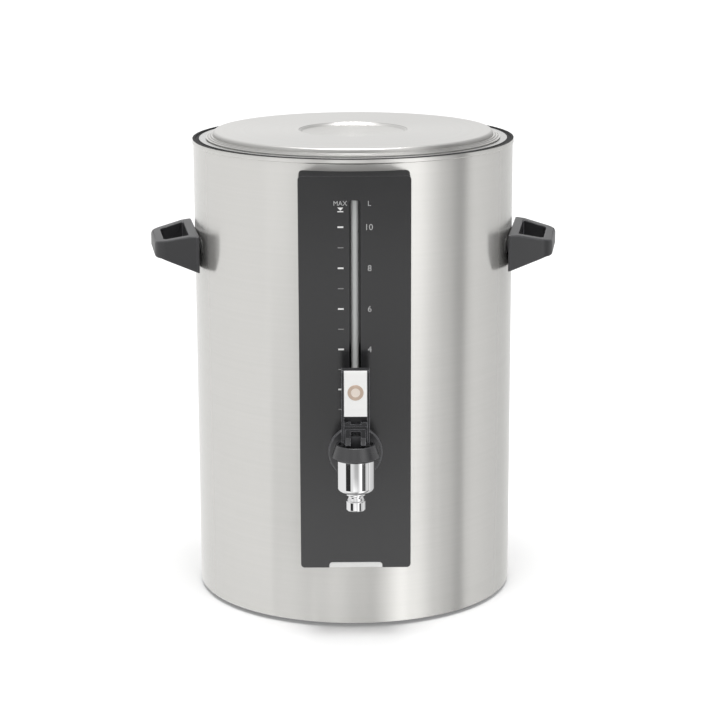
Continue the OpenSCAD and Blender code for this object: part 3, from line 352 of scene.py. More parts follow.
class Effects:
    """The shader node groups that several finishes share, each built once."""

    made: Dict[str, Tree] = {}

    @classmethod
    def built(cls, name: str, inputs: Dict[str, Optional[float]],
              wire: Callable[..., Results]) -> Tree:
        """A named group, new or already built.

        Args:
            name: The group's name.
            inputs: Each input's first value by its name, or None for coordinates.
            wire: Fills the group from its tree and its inputs' sockets, and gives the results by name.

        Returns:
            The group.
        """
        if name not in cls.made:
            group = bpy.data.node_groups.new(name, "ShaderNodeTree")
            for label, value in inputs.items():
                kind = "NodeSocketVector" if value is None else "NodeSocketFloat"
                socket = group.interface.new_socket(label, in_out="INPUT", socket_type=kind)
                if value is not None:
                    socket.default_value = value
            results = wire(group, group.nodes.new("NodeGroupInput").outputs)
            for label in results:
                group.interface.new_socket(label, in_out="OUTPUT", socket_type="NodeSocketFloat")
            end = group.nodes.new("NodeGroupOutput")
            for label, socket in results.items():
                group.links.new(socket, end.inputs[label])
            cls.made[name] = group
        return cls.made[name]

    @classmethod
    def brush_lines(cls) -> Tree:
        """Brush lines: fine ones as a height, and broad ones as a change of tone about 1."""
        def wire(tree: Tree, given: bpy.types.NodeOutputs) -> Results:
            """Fine and broad noise."""
            place = {"Vector": given["Vector"]}
            fine = add_node(tree, "TexNoise", {**place, "Scale": 1.0, "Detail": 5.0, "Roughness": 0.75})
            broad = add_node(tree, "TexNoise", {**place, "Scale": 0.13, "Detail": 3.0})
            shade = add_node(tree, "MapRange", {
                "Value": broad.outputs["Fac"], "From Min": 0.3, "From Max": 0.7,
                "To Min": add_sum(tree, "SUBTRACT", 1.0, given["Tone"]),
                "To Max": add_sum(tree, "ADD", 1.0, given["Tone"])})
            return {"Height": fine.outputs["Fac"], "Shade": shade.outputs[0]}
        return cls.built("brush_lines", {"Vector": None, "Tone": 0.04}, wire)

    @classmethod
    def clouding(cls) -> Tree:
        """Soft uneven patches: a value that wanders about 1 by the amount given."""
        def wire(tree: Tree, given: bpy.types.NodeOutputs) -> Results:
            """Noise from -1 to 1, times the amount, plus 1."""
            noise = add_node(tree, "TexNoise", {
                "Vector": given["Vector"], "Scale": given["Size"], "Detail": 4.0})
            swing = add_sum(tree, "MULTIPLY", add_sum(tree, "SUBTRACT", noise.outputs["Fac"], 0.5), 2.0)
            return {"Shade": add_sum(tree, "MULTIPLY_ADD", swing, given["Amount"], 1.0)}
        return cls.built("clouding", {"Vector": None, "Size": 20.0, "Amount": 0.1}, wire)

    @classmethod
    def painted_edge_highlight(cls) -> Tree:
        """A mask of the edges, where a moulding gets a painted highlight, broken up by noise."""
        def wire(tree: Tree, given: bpy.types.NodeOutputs) -> Results:
            """How far a rounded normal turns from the true one, times noise."""
            rounded_off = add_node(tree, "Bevel", {"Radius": given["Reach"]}, samples=4)
            plain = add_node(tree, "NewGeometry")
            turn = add_node(tree, "VectorMath", {0: rounded_off.outputs[0], 1: plain.outputs["True Normal"]},
                            operation="DOT_PRODUCT")
            spread = add_node(tree, "MapRange", {
                "Value": turn.outputs["Value"], "From Min": 0.995, "From Max": 0.86})
            noise = add_node(tree, "TexNoise", {"Vector": given["Vector"], "Scale": 350.0, "Detail": 3.0})
            return {"Mask": add_sum(tree, "MULTIPLY", spread.outputs[0], noise.outputs["Fac"])}
        return cls.built("painted_edge_highlight", {"Vector": None, "Reach": 0.0006}, wire)

    @classmethod
    def spark_skin(cls) -> Tree:
        """The fine pitted skin of a moulding from a spark-eroded tool, as a height."""
        def wire(tree: Tree, given: bpy.types.NodeOutputs) -> Results:
            """Cells times noise."""
            place = {"Vector": given["Vector"], "Scale": given["Size"]}
            cells = add_node(tree, "TexVoronoi", place)
            noise = add_node(tree, "TexNoise", {**place, "Detail": 3.0})
            return {"Height": add_sum(tree, "MULTIPLY", cells.outputs["Distance"], noise.outputs["Fac"])}
        return cls.built("spark_skin", {"Vector": None, "Size": 900.0}, wire)


# ---------------------------------------------------------------- finishes


class Shader:
    """One material under construction, with short ways to add and join nodes."""

    def __init__(self, name: str) -> None:
        """Starts a material with its Principled shader and Object coordinates."""
        self.mat = bpy.data.materials.new(name)
        self.mat.use_nodes = True
        self.tree = self.mat.node_tree
        self.bsdf = self.tree.nodes["Principled BSDF"]
        self.add = partial(add_node, self.tree)
        self.sum = partial(add_sum, self.tree)
        self.times = partial(self.sum, "MULTIPLY")
        self.place = self.add("TexCoord").outputs["Object"]

    def feed(self, label: str, source: Socket) -> None:
        """Joins a socket to one of the shader's own, by its label."""
        self.tree.links.new(source, self.bsdf.inputs[label])

    def set(self, **values: object) -> None:
        """Sets sockets of the shader; an underscore in a name stands for a space."""
        for label, value in values.items():
            self.bsdf.inputs[label.replace("_", " ")].default_value = value

    def group(self, tree: Tree, vector: Socket,
              **values: float) -> bpy.types.Node:
        """A shared effect with its own values.

        Args:
            tree: The effect's group.
            vector: The coordinates it reads.
            **values: Its inputs by name.

        Returns:
            The group's node.
        """
        node = self.add("Group", node_tree=tree)
        self.tree.links.new(vector, node.inputs["Vector"])
        for label, value in values.items():
            node.inputs[label].default_value = value
        return node

    def cloud(self, size: float, amount: float) -> Socket:
        """A factor that wanders about 1 by the amount, in patches of about 1 / size metres."""
        return self.group(Effects.clouding(), self.place, Size=size, Amount=amount).outputs[0]

    def skin(self, size: float) -> Socket:
        """The height of a pitted skin with about this many pits to the metre."""
        return self.group(Effects.spark_skin(), self.place, Size=size).outputs[0]

    def scaled(self, scale: Tuple[float, float, float]) -> Socket:
        """Object coordinates scaled per axis."""
        return self.add("Mapping", {"Vector": self.place, "Scale": scale}).outputs[0]

    def shade(self, tint: Colour, factor: Socket) -> None:
        """Base Color as a tint times a factor that changes over the surface."""
        mix = self.add("VectorMath", operation="SCALE")
        mix.inputs[0].default_value = tint
        self.tree.links.new(factor, mix.inputs["Scale"])
        self.feed("Base Color", mix.outputs[0])

    def bump(self, height: Socket, depth: float) -> None:
        """Small relief from a height, with its depth in metres."""
        relief = self.add("Bump", {"Distance": depth, "Strength": 1.0, "Height": height})
        self.feed("Normal", relief.outputs[0])


# A polished band keeps this share of the roughness, reached over this height in metres
POLISHED = 0.3
POLISH_FADE = 0.0006
# Painted shade reaches this far from a crease, in metres, and takes this share of the metal's tone
CREASE_REACH = 0.0007
CREASE_SHADE = 0.3


@dataclass(frozen=True)
class Finish:
    """A finish: the record's slot, a tint and a roughness. Its kinds say how the surface is made."""

    slot: str
    tint: Colour
    rough: float

    def make(self, shader: Shader) -> None:
        """Wires the surface."""
        raise NotImplementedError

    def material(self) -> bpy.types.Material:
        """The finish's material, built on first use."""
        if self not in MADE:
            shader = Shader(f"{self.slot}-{type(self).__name__}")
            shader.set(Roughness=self.rough)
            shader.bsdf.inputs["Base Color"].default_value = (*self.tint, 1.0)
            self.make(shader)
            MADE[self] = shader.mat
        return MADE[self]


@dataclass(frozen=True)
class BrushedMetal(Finish):
    """Sheet or bar with brush lines; a band above a height may be polished."""

    grain: Grain = Grain.AROUND
    stretch: float = 0.0
    swing: float = 0.25
    polished_from: float = 0.0
    tone: float = 0.03
    relief: float = 0.000004
    metal: float = 1.0
    creases: Tuple[float, ...] = ()

    def make(self, shader: Shader) -> None:
        """Brush lines in height, tone and roughness, faint clouding, and painted shade in round creases."""
        shader.set(Metallic=self.metal, Anisotropic=self.stretch, Anisotropic_Rotation=self.swing)
        if self.grain is Grain.ROUND_THE_MIDDLE:
            vector, unshaded = self.round_lines(shader)
        else:
            vector, unshaded = shader.scaled(self.grain.value), None
        lines = shader.group(Effects.brush_lines(), vector, Tone=self.tone)
        cloud = shader.cloud(size=9.0, amount=0.02)
        tone = shader.times(lines.outputs["Shade"], cloud)
        shader.shade(self.tint, tone if unshaded is None else shader.times(tone, unshaded))
        rough = shader.times(lines.outputs["Shade"], self.rough)
        if self.polished_from > 0:
            split = shader.add("SeparateXYZ", {0: shader.place})
            band = shader.add("MapRange", {
                "Value": split.outputs[2], "From Min": self.polished_from,
                "From Max": self.polished_from + POLISH_FADE, "To Min": 1.0, "To Max": POLISHED})
            rough = shader.times(rough, band.outputs[0])
        shader.feed("Roughness", rough)
        shader.bump(lines.outputs["Height"], self.relief)

    def round_lines(self, shader: Shader) -> Tuple[Socket, Optional[Socket]]:
        """Coordinates for lines round the upright axis, and the painted shade in the creases.

        Args:
            shader: The material under construction.

        Returns:
            The coordinates, and a factor on the tone that is 1 away from the painted shade in the creases.
        """
        split = shader.add("SeparateXYZ", {0: shader.place}).outputs
        flat = shader.add("CombineXYZ", {0: split[0], 1: split[1]})
        away = shader.add("VectorMath", {0: flat.outputs[0]}, operation="LENGTH").outputs["Value"]
        drawn = [shader.times(part, scale)
                 for part, scale in zip((split[0], split[1], away), self.grain.value)]
        unshaded = None
        # Darker tone near each crease radius: painted shade
        for radius in self.creases:
            off = shader.sum("ABSOLUTE", shader.sum("SUBTRACT", away, radius))
            near = shader.sum("SUBTRACT", 1.0, shader.sum("DIVIDE", off, CREASE_REACH))
            crease_shade = shader.times(shader.sum("MAXIMUM", near, 0.0), CREASE_SHADE)
            left = shader.sum("SUBTRACT", 1.0, crease_shade)
            unshaded = left if unshaded is None else shader.times(unshaded, left)
        return shader.add("CombineXYZ", dict(enumerate(drawn))).outputs[0], unshaded


@dataclass(frozen=True)
class Plating(Finish):
    """Chrome or zinc on a turned or pressed piece: mirror-like, with faint swirl marks."""

    haze: float = 0.3

    def make(self, shader: Shader) -> None:
        """Clouded roughness, faint swirls and a slow tone."""
        shader.set(Metallic=1.0)
        swirl = shader.cloud(size=260.0, amount=self.haze)
        slow = shader.cloud(size=40.0, amount=0.03)
        shader.feed("Roughness", shader.times(swirl, self.rough))
        shader.shade(self.tint, slow)
        shader.bump(swirl, depth=0.0000015)


@dataclass(frozen=True)
class Moulding(Finish):
    """Moulded plastic or resin with a fine pitted skin and slight tone changes."""

    pit: float = 900.0
    relief: float = 0.00002
    level: float = 0.5
    edge_highlight: float = 0.0
    reach: float = 0.0006

    def make(self, shader: Shader) -> None:
        """Pitted skin, clouded roughness and tone, and edges made paler: a painted highlight."""
        shader.set(Specular_IOR_Level=self.level)
        skin = shader.skin(size=self.pit)
        cloud = shader.cloud(size=35.0, amount=0.08)
        tone = cloud
        # Paler edges in the base colour: a painted highlight
        if self.edge_highlight > 0:
            edge = shader.group(Effects.painted_edge_highlight(), shader.place, Reach=self.reach)
            tone = shader.sum("ADD", tone, shader.times(edge.outputs[0], self.edge_highlight))
        shader.shade(self.tint, tone)
        shader.feed("Roughness", shader.times(cloud, self.rough))
        shader.bump(skin, self.relief)


@dataclass(frozen=True)
class Soft(Finish):
    """Rubber or silicone: dull, a little see-through to light, with a dusty bloom."""

    glow: float = 0.0

    def make(self, shader: Shader) -> None:
        """Bloom on a dull body."""
        shader.set(Sheen_Weight=0.15, Subsurface_Weight=self.glow, Specular_IOR_Level=0.35)
        bloom = shader.cloud(size=120.0, amount=0.25)
        skin = shader.skin(size=600.0)
        shader.shade(self.tint, bloom)
        shader.bump(skin, depth=0.00003)


@dataclass(frozen=True)
class Ink(Finish):
    """Screen-printed ink: matt, a little uneven where it was pressed through the mesh."""

    def make(self, shader: Shader) -> None:
        """Uneven cover and a faint mesh."""
        cover = shader.cloud(size=900.0, amount=0.08)
        skin = shader.skin(size=2500.0)
        shader.shade(self.tint, cover)
        shader.bump(skin, depth=0.000008)


@dataclass(frozen=True)
class ClearTube(Finish):
    """The gauge's tube: clear, a little milky from scale inside."""

    clear: float = 0.5

    def make(self, shader: Shader) -> None:
        """Milky streaks along the tube in a clear body."""
        shader.set(IOR=1.47, Transmission_Weight=self.clear, Coat_Weight=0.2)
        streak = shader.group(Effects.brush_lines(), shader.scaled((700.0, 700.0, 12.0)), Tone=0.06)
        shader.shade(self.tint, streak.outputs["Shade"])
        shader.feed("Roughness", shader.times(streak.outputs["Shade"], self.rough))


@dataclass(frozen=True)
class Fibre(Finish):
    """Pressed mineral wool: matt, matted threads."""

    def make(self, shader: Shader) -> None:
        """Matted threads in tone and height."""
        shader.set(Specular_IOR_Level=0.1, Sheen_Weight=0.4)
        mat = shader.group(Effects.brush_lines(), shader.scaled((900.0, 250.0, 420.0)), Tone=0.25)
        shader.shade(self.tint, mat.outputs["Shade"])
        shader.bump(mat.outputs["Height"], depth=0.0006)


@dataclass(frozen=True)
class FiredClay(Finish):
    """Glazed ceramic or phenolic resin: smooth, with fine specks."""

    coat: float = 0.3

    def make(self, shader: Shader) -> None:
        """Specks under a thin glaze."""
        shader.set(Coat_Weight=self.coat, Coat_Roughness=0.15)
        speck = shader.cloud(size=1400.0, amount=0.18)
        shader.shade(self.tint, speck)
        shader.bump(speck, depth=0.00001)


MADE: Dict[Finish, bpy.types.Material] = {}
SHELL = BrushedMetal("shell_steel", (0.775, 0.767, 0.74), 0.2, Grain.AROUND, 0.75, 0.25, 0.4379, 0.016,
                     0.0000015, 0.7)
# The lid's tone is darkened at its crease radii: painted shade
LID = BrushedMetal("lid_steel", (0.79, 0.782, 0.762), 0.33, Grain.ROUND_THE_MIDDLE, 0.25, 0.0, 0.0, 0.02,
                   creases=(0.0519, 0.1344, 0.1367, 0.1391))
TANK = BrushedMetal("tank_steel", (0.68, 0.68, 0.67), 0.24, Grain.AROUND, 0.3, 0.25)
PLATE = BrushedMetal("lid_steel", (0.96, 0.96, 0.95), 0.45, Grain.ACROSS, 0.0, 0.0, 0.0, 0.02, 0.000002, 0.4)
ZINC = Plating("zinc_steel", (0.60, 0.61, 0.62), 0.32, 0.5)
# A darker zinc for the base plate, to deepen the gap under the shell: painted shade
BASE_PAINTED_SHADE = Plating("zinc_steel", (0.34, 0.345, 0.35), 0.45, 0.5)
ALUMINIUM = BrushedMetal("heater_aluminium", (0.78, 0.78, 0.79), 0.38, Grain.ACROSS, 0.0, 0.0, 0.0, 0.08)
CHROME = Plating("tap_chrome", (0.97, 0.97, 0.975), 0.025, 0.35)
# Darkened steel for the valve stem, which stands in a deep slot: painted shade
STEM_PAINTED_SHADE = Plating("tank_steel", (0.09, 0.09, 0.095), 0.45, 0.4)
# Darkened plating for the lever pin inside the fork: painted shade
PIN_PAINTED_SHADE = Plating("zinc_steel", (0.06, 0.06, 0.062), 0.4, 0.4)
# Darkened chrome for the gauge's foot block, which sits in shade: painted shade
BLOCK_PAINTED_SHADE = Plating("tap_chrome", (0.05, 0.05, 0.052), 0.4, 0.4)
# A moulding's seventh value lightens its edges: a painted highlight
PANEL = Moulding("panel_black", (0.018, 0.018, 0.019), 0.16, 700.0, 0.000006, 1.0, 7.0, 0.0008)
# A duller copy of the panel's finish for its top and bottom faces: painted shade
PANEL_SHADED_ENDS = Moulding("panel_black", (0.024, 0.024, 0.025), 0.6, 700.0, 0.000012, 0.03)
HANDLE = Moulding("handle_black", (0.026, 0.026, 0.028), 0.36, 800.0, 0.00002, 0.6, 9.0, 0.0016)
RIM = Moulding("rim_black", (0.020, 0.020, 0.021), 0.6, 900.0, 0.000015, 0.15)
TAP_BLACK = Moulding("tap_black", (0.024, 0.024, 0.026), 0.27, 900.0, 0.00001, 1.0, 12.0, 0.0007)
LEVER_BLACK = Moulding("tap_black", (0.026, 0.026, 0.028), 0.55, 900.0, 0.00001, 0.3, 16.0, 0.0007)
INLET_BLACK = Moulding("inlet_black", (0.018, 0.018, 0.019), 0.40, 800.0)
CLIP = Moulding("clip_white", (0.80, 0.80, 0.79), 0.35, 800.0, 0.000015)
ROCKER = Moulding("rocker_red", (0.42, 0.02, 0.015), 0.22, 600.0, 0.000008)
SLEEVE = Moulding("lead_sleeve", (0.30, 0.045, 0.02), 0.55, 500.0, 0.00008)
RUBBER = Soft("foot_rubber", (0.022, 0.022, 0.022), 0.75)
SILICONE = Soft("seal_silicone", (0.70, 0.69, 0.66), 0.50, 0.15)
WHITE_INK = Ink("mark_white", (0.78, 0.78, 0.77), 0.55)
GREY_INK = Ink("mark_white", (0.42, 0.42, 0.42), 0.55)
DIM_INK = Ink("mark_white", (0.24, 0.24, 0.24), 0.55)
GLASS = ClearTube("gauge_glass", (0.68, 0.69, 0.68), 0.22, 0.12)
COPPER = BrushedMetal("badge_copper", (0.60, 0.47, 0.38), 0.42, Grain.UP, 0.0, 0.0, 0.0, 0.06, 0.000002, 0.5)
PALE_COPPER = BrushedMetal("badge_copper", (0.86, 0.77, 0.69), 0.4, Grain.UP, 0.0, 0.0, 0.0, 0.04,
                           0.000002, 0.5)
ELEMENT = Plating("element_alloy", (0.36, 0.34, 0.33), 0.45, 0.5)
CERAMIC = FiredClay("terminal_ceramic", (0.78, 0.75, 0.68), 0.35, 0.35)
PHENOLIC = FiredClay("phenolic", (0.16, 0.07, 0.03), 0.40, 0.2)
WOOL = Fibre("wool", (0.52, 0.45, 0.26), 0.9)
BY_SLOT: Dict[str, Finish] = {f.slot: f for f in (
    SHELL, LID, TANK, ZINC, ALUMINIUM, CHROME, PANEL, HANDLE, RIM, TAP_BLACK, INLET_BLACK, CLIP, ROCKER,
    SLEEVE, RUBBER, SILICONE, WHITE_INK, GLASS, COPPER, ELEMENT, CERAMIC, PHENOLIC, WOOL)}


# ---------------------------------------------------------------- sub-assemblies

# How far the rounding of a sheet's edges reaches, in millimetres
SHEET_EDGE = 0.25


@dataclass
class Vessel:
    """The double-walled vessel: shell, rim ring, tank, base and feet."""

    radius: float = 153.5
    sheet: float = 1.0
    foot_gap: float = 4.0
    bead_top: float = 443.15
    bead: float = 1.0
    bead_height: float = 4.5
    rim_seat: float = 442.3
    rim_out: float = 154.2
    rim_in: float = 145.7
    flange: float = 148.0
    flange_from: float = 1.2
    flange_gap: float = 0.2
    window: Tuple[float, float, float, float] = (-33.0, 33.0, 33.0, 59.0)
    rear: float = 100.0
    foot_circle: float = 128.0
    foot_radius: float = 12.0
    body: str = "urn"

    def shell(self) -> None:
        """The brushed shell with its rolled bead and the window for the rear housing."""
        r, low, top = self.radius, self.bead_top - self.bead_height, self.bead_top
        inner = r - self.sheet
        outline = [(inner + 0.3, self.foot_gap), (r - 0.3, self.foot_gap), (r, self.foot_gap + 0.3),
                   (r, self.foot_gap + 40), (r, 220.0), (r, low - 6.0), (r, low)]
        out = r + self.bead
        outline += [(out - 0.35, low + 0.3), (out - 0.08, low + 0.65), (out, low + 1.1),
                    (out - 0.12, low + 2.0), (out - 0.6, top - 0.55), (out - 0.78, top - 0.2),
                    (out - 1.1, top)]
        outline += [(inner, top), (inner, 220.0), (inner, self.foot_gap + 0.3)]
        bm = turned(outline, steps=256)
        x0, x1, z0, z1 = self.window
        for place, way in (((x0, 0, 0), (1, 0, 0)), ((x1, 0, 0), (1, 0, 0)), ((0, 0, z0), (0, 0, 1)),
                           ((0, 0, z1), (0, 0, 1))):
            near = [f for f in bm.faces if f.calc_center_median().y > self.rear]
            geom = near + list({e for f in near for e in f.edges}) + list({v for f in near for v in f.verts})
            bmesh.ops.bisect_plane(bm, geom=geom, dist=0.0001, plane_co=place, plane_no=way)
        hole = [f for f in bm.faces if f.calc_center_median().y > self.rear
                and x0 < f.calc_center_median().x < x1 and z0 < f.calc_center_median().z < z1]
        bmesh.ops.delete(bm, geom=hole, context="FACES")
        rims = [e for e in bm.edges if e.is_boundary]
        bmesh.ops.bridge_loops(bm, edges=rims)
        bmesh.ops.recalc_face_normals(bm, faces=bm.faces[:])
        piece("shell", bm, SHELL, self.body, ["outer_shell"])

    def rim(self) -> None:
        """The black ring on the bead that keeps the tank's heat from the shell."""
        seat, inner, leg = self.rim_seat, self.rim_in - 4.7, self.radius - self.sheet - 0.15
        lip = self.bead_top + 0.02
        outline = [(leg, seat - 2), (leg, lip)] + arc((self.rim_out - 0.14, lip + 0.14), 0.14, -90, 90, 6)
        outline += [(leg - 0.2, lip + 0.28), (leg - 0.6, lip + 0.1), (leg - 1.0, seat), (inner, seat),
                    (inner, seat - 1.8), (leg - 2.2, seat - 1.8), (leg - 2.2, seat - 10), (leg, seat - 10)]
        piece("rim", turned(outline, steps=256), RIM, self.body, ["rim_ring"], 24)

    def tank(self) -> None:
        """The tank, with its flange drawn out over the rim: it shows as a bright ring under the brim."""
        bm = soften(merged("inner_tank"), SHEET_EDGE, 2, 40)
        for vert in bm.verts:
            away = math.hypot(vert.co.x, vert.co.y)
            if away > self.rim_in - self.flange_from:
                grown = 1 + (self.flange - self.rim_in + self.flange_gap) / away
                vert.co.x, vert.co.y = vert.co.x * grown, vert.co.y * grown
        piece("tank", bm, TANK, self.body, ["inner_tank"])

    def base(self) -> None:
        """The vented base plate and the four feet."""
        # The base plate's dark finish is painted shade
        rounded("base", "base_plate", BASE_PAINTED_SHADE, self.body, SHEET_EDGE)
        feet = []
        for turn in (45, 135, 225, 315):
            way = math.radians(turn)
            at = (self.foot_circle * math.cos(way), self.foot_circle * math.sin(way), 0)
            r = self.foot_radius
            outline = [(0, 0.7), (3.0, 0.7), (3.4, 0.0), (r - 1.6, 0.0)] + arc((r - 1.5, 1.5), 1.5, -90, 0, 5)
            outline += [(r, 6.0), (4.95, 6.0), (4.95, 7.2), (7.5, 7.2), (7.2, 8.6), (6.0, 12.2), (0, 12.2)]
            feet.append(turned(outline, Turn.UPRIGHT, at, 48, closed=False))
        piece("feet", joined(feet), RUBBER, self.body, ["rubber_feet"])

    def build(self) -> None:
        """Makes the vessel's pieces."""
        self.shell()
        self.rim()
        self.tank()
        self.base()


@dataclass
class Lid:
    """The lift-off lid: stepped brim, round-edged cap and pressed grip dish."""

    brim: float = 141.5
    brim_z: float = 443.9
    sheet: float = 0.8
    step_w: float = 2.35
    step_h: float = 0.7
    step_lean: float = 0.27
    groove: float = 0.4
    cap: float = 134.3
    cap_round: float = 2.5
    top: float = 450.2
    dish: float = 52.0
    dish_step: float = 0.45
    lip: float = 3.0
    lip_drop: float = 2.6
    depth: float = 8.0
    body: str = "lid"

    def section(self, inside: float) -> List[Pair]:
        """The lid's outline from the brim to the middle.

        Args:
            inside: How far the surface lies inside the outer one.

        Returns:
            Its points.
        """
        base = self.brim_z + self.sheet
        deep, wide = (self.groove, self.groove + 0.15) if inside == 0 else (0.0, 0.0)
        points = [(self.brim, base - inside)]
        for i in (1, 2, 3):
            r = (self.cap if i == 3 else self.brim - i * self.step_w) - inside
            tread = base + (i - 1) * self.step_h - inside
            if deep:
                points += [(r + wide, tread), (r + wide - 0.05, tread - deep), (r, tread - deep)]
            points += [(r, tread)] + ([(r - self.step_lean, tread + self.step_h)] if i < 3 else [])
        points += arc((self.cap - self.cap_round, self.top - self.cap_round), self.cap_round - inside, 0, 90)
        points += [(self.dish + 6 - inside, self.top - inside),
                   (self.dish + 0.35 - inside, self.top - inside),
                   (self.dish - inside, self.top - self.dish_step - inside)]
        for i in range(1, 11):
            t = i / 10
            ease = t * t * (3 - 2 * t)
            points.append((self.dish - 0.4 - t * self.lip - inside,
                           self.top - self.dish_step - (self.lip_drop - self.dish_step) * ease - inside))
        edge = self.dish - self.lip - 0.8
        for i in range(1, 13):
            x = 1 - i / 12
            points.append(((edge - inside) * x,
                           self.top - self.lip_drop - (self.depth - self.lip_drop) * (1 - x * x) - inside))
        return points

    def build(self) -> None:
        """Makes the lid's outer sheet and the pan under it."""
        outline = self.section(0.0) + list(reversed(self.section(self.sheet)))
        bm = turned(outline, steps=256)
        piece("lid", soften(bm, 0.16, 2, 40), LID, self.body, ["lid_shell"], 40)
        rounded("pan", "lid_pan", TANK, self.body, SHEET_EDGE)


@dataclass
class FrontPanel:
    """The black panel with its printed scale, the white clip and the gauge."""

    face: float = -180.5
    low: float = 68.3
    high: float = 432.3
    half: float = 50.5
    marks: float = -12.6
    numbers: float = 13.3
    litre: float = 18.6055
    zero: float = 200.4
    thin: float = 0.7
    mark_reach: float = 0.12
    ink: float = 0.1
    ink_sink: float = 0.06
    end_face: float = 0.6
    glass_y: float = -172.0
    glass: float = 3.6
    glass_wall: float = 1.2
    body: str = "urn"

    def panel(self) -> None:
        """The moulding with a rounder front edge, crisp slot and notch, ends in a duller copy of its finish
        that paints shade on them, and its clip.
        """
        bm = merged("front_panel")
        outer = lambda p: abs(p.y - self.face) < 0.02 and (
            abs(abs(p.x) - self.half) < 3.7 or p.z > self.high - 3.7 or p.z < self.low + 5.6)
        soften(bm, 1.0, 3, 50, outer)
        soften(bm, 0.3, 2, 50, lambda p: p.y < self.face + 3.0 and abs(p.x) < 30 and p.z > 190)
        moulding = piece("panel", bm, PANEL, self.body, ["front_panel"])
        # Top and bottom faces get the duller copy so that they render darker: painted shade
        moulding.data.materials.append(PANEL_SHADED_ENDS.material())
        for face in moulding.data.polygons:
            if abs(face.normal.z) > self.end_face:
                face.material_index = 1
        rounded("clip", "panel_clip", CLIP, self.body)

    def gauge(self) -> None:
        """The gauge's tube with fused ends."""
        low, high = 189.8, 415.3
        inner = self.glass - self.glass_wall
        outline = [(inner + 0.4, low), (self.glass - 0.4, low), (self.glass, low + 0.4), (self.glass, 300.0),
                   (self.glass, high - 0.4), (self.glass - 0.4, high), (inner + 0.4, high),
                   (inner, high - 0.4), (inner, 300.0), (inner, low + 0.4)]
        tube = turned(outline, middle=(0, self.glass_y, 0), steps=48)
        piece("tube", tube, GLASS, self.body, ["gauge_glass"], 50)

    def print_text(self, name: str, text: str, x: float, z: float, height: float,
                   stretch: float = 1.0) -> None:
        """Plain printed figures or letters on the panel's face.

        Args:
            name: The piece's name.
            text: The figures.
            x: Their middle across the panel.
            z: Their middle in height.
            height: Their height.
            stretch: Their width against the plain letter's.
        """
        curve = bpy.data.curves.new(name, "FONT")
        curve.body, curve.size, curve.extrude = text, 1.0, 0.012
        source = placed(name + "_source", curve)
        bpy.context.view_layer.update()
        mesh = bpy.data.meshes.new_from_object(source.evaluated_get(bpy.context.evaluated_depsgraph_get()))
        bm = bmesh.new()
        bm.from_mesh(mesh)
        bpy.data.objects.remove(source)
        bpy.data.curves.remove(curve)
        bpy.data.meshes.remove(mesh)
        bmesh.ops.remove_doubles(bm, verts=bm.verts[:], dist=0.0001)
        low = Vector([min(v.co[i] for v in bm.verts) for i in range(3)])
        high = Vector([max(v.co[i] for v in bm.verts) for i in range(3)])
        scale = height / (high.y - low.y)
        bmesh.ops.translate(bm, vec=-(low + high) / 2, verts=bm.verts[:])
        bmesh.ops.scale(bm, vec=(scale * stretch, scale, self.ink / (high.z - low.z)), verts=bm.verts[:])
        bmesh.ops.rotate(bm, cent=(0, 0, 0), matrix=Matrix.Rotation(math.pi / 2, 3, "X"), verts=bm.verts[:])
        bmesh.ops.translate(bm, vec=(x, self.face - self.ink_sink, z), verts=bm.verts[:])
        piece(name, bm, GREY_INK, self.body)

    def scale(self) -> None:
        """The litre marks, thinned: even litres are white and odd litres grey."""
        names = ["scale_marks"]
        for odd, name, finish in ((False, "marks_even", WHITE_INK), (True, "marks_odd", DIM_INK)):
            bm = merged("scale_marks")
            away = []
            for vert in bm.verts:
                litres = (vert.co.z - self.zero) / self.litre
                near = round(litres)
                is_odd = near % 2 == 1 and near < 10 and abs(litres - near) < self.mark_reach
                if is_odd != odd:
                    away.append(vert)
                elif abs(litres - near) < self.mark_reach and near < 11:
                    middle = self.zero + near * self.litre
                    vert.co.z = middle + (vert.co.z - middle) * self.thin
            bmesh.ops.delete(bm, geom=away, context="VERTS")
            piece(name, bm, finish, self.body, names)
            names = []

    def build(self) -> None:
        """Makes the panel, its print and its gauge."""
        self.panel()
        self.gauge()
        for litres in (4, 6, 8, 10):
            height = self.zero + litres * self.litre
            self.print_text(f"figure_{litres}", str(litres), self.numbers, height, 5.4)
        self.print_text("unit", "L", self.numbers, 407.8, 4.4)
        self.print_text("fill_word", "MAX", self.marks, 407.9, 4.2, 0.95)
        self.scale()
        rounded("gauge_top", "gauge_cap", RIM, self.body)
        # The foot block's dark finish is painted shade
        rounded("gauge_foot", "gauge_block", BLOCK_PAINTED_SHADE, self.body)


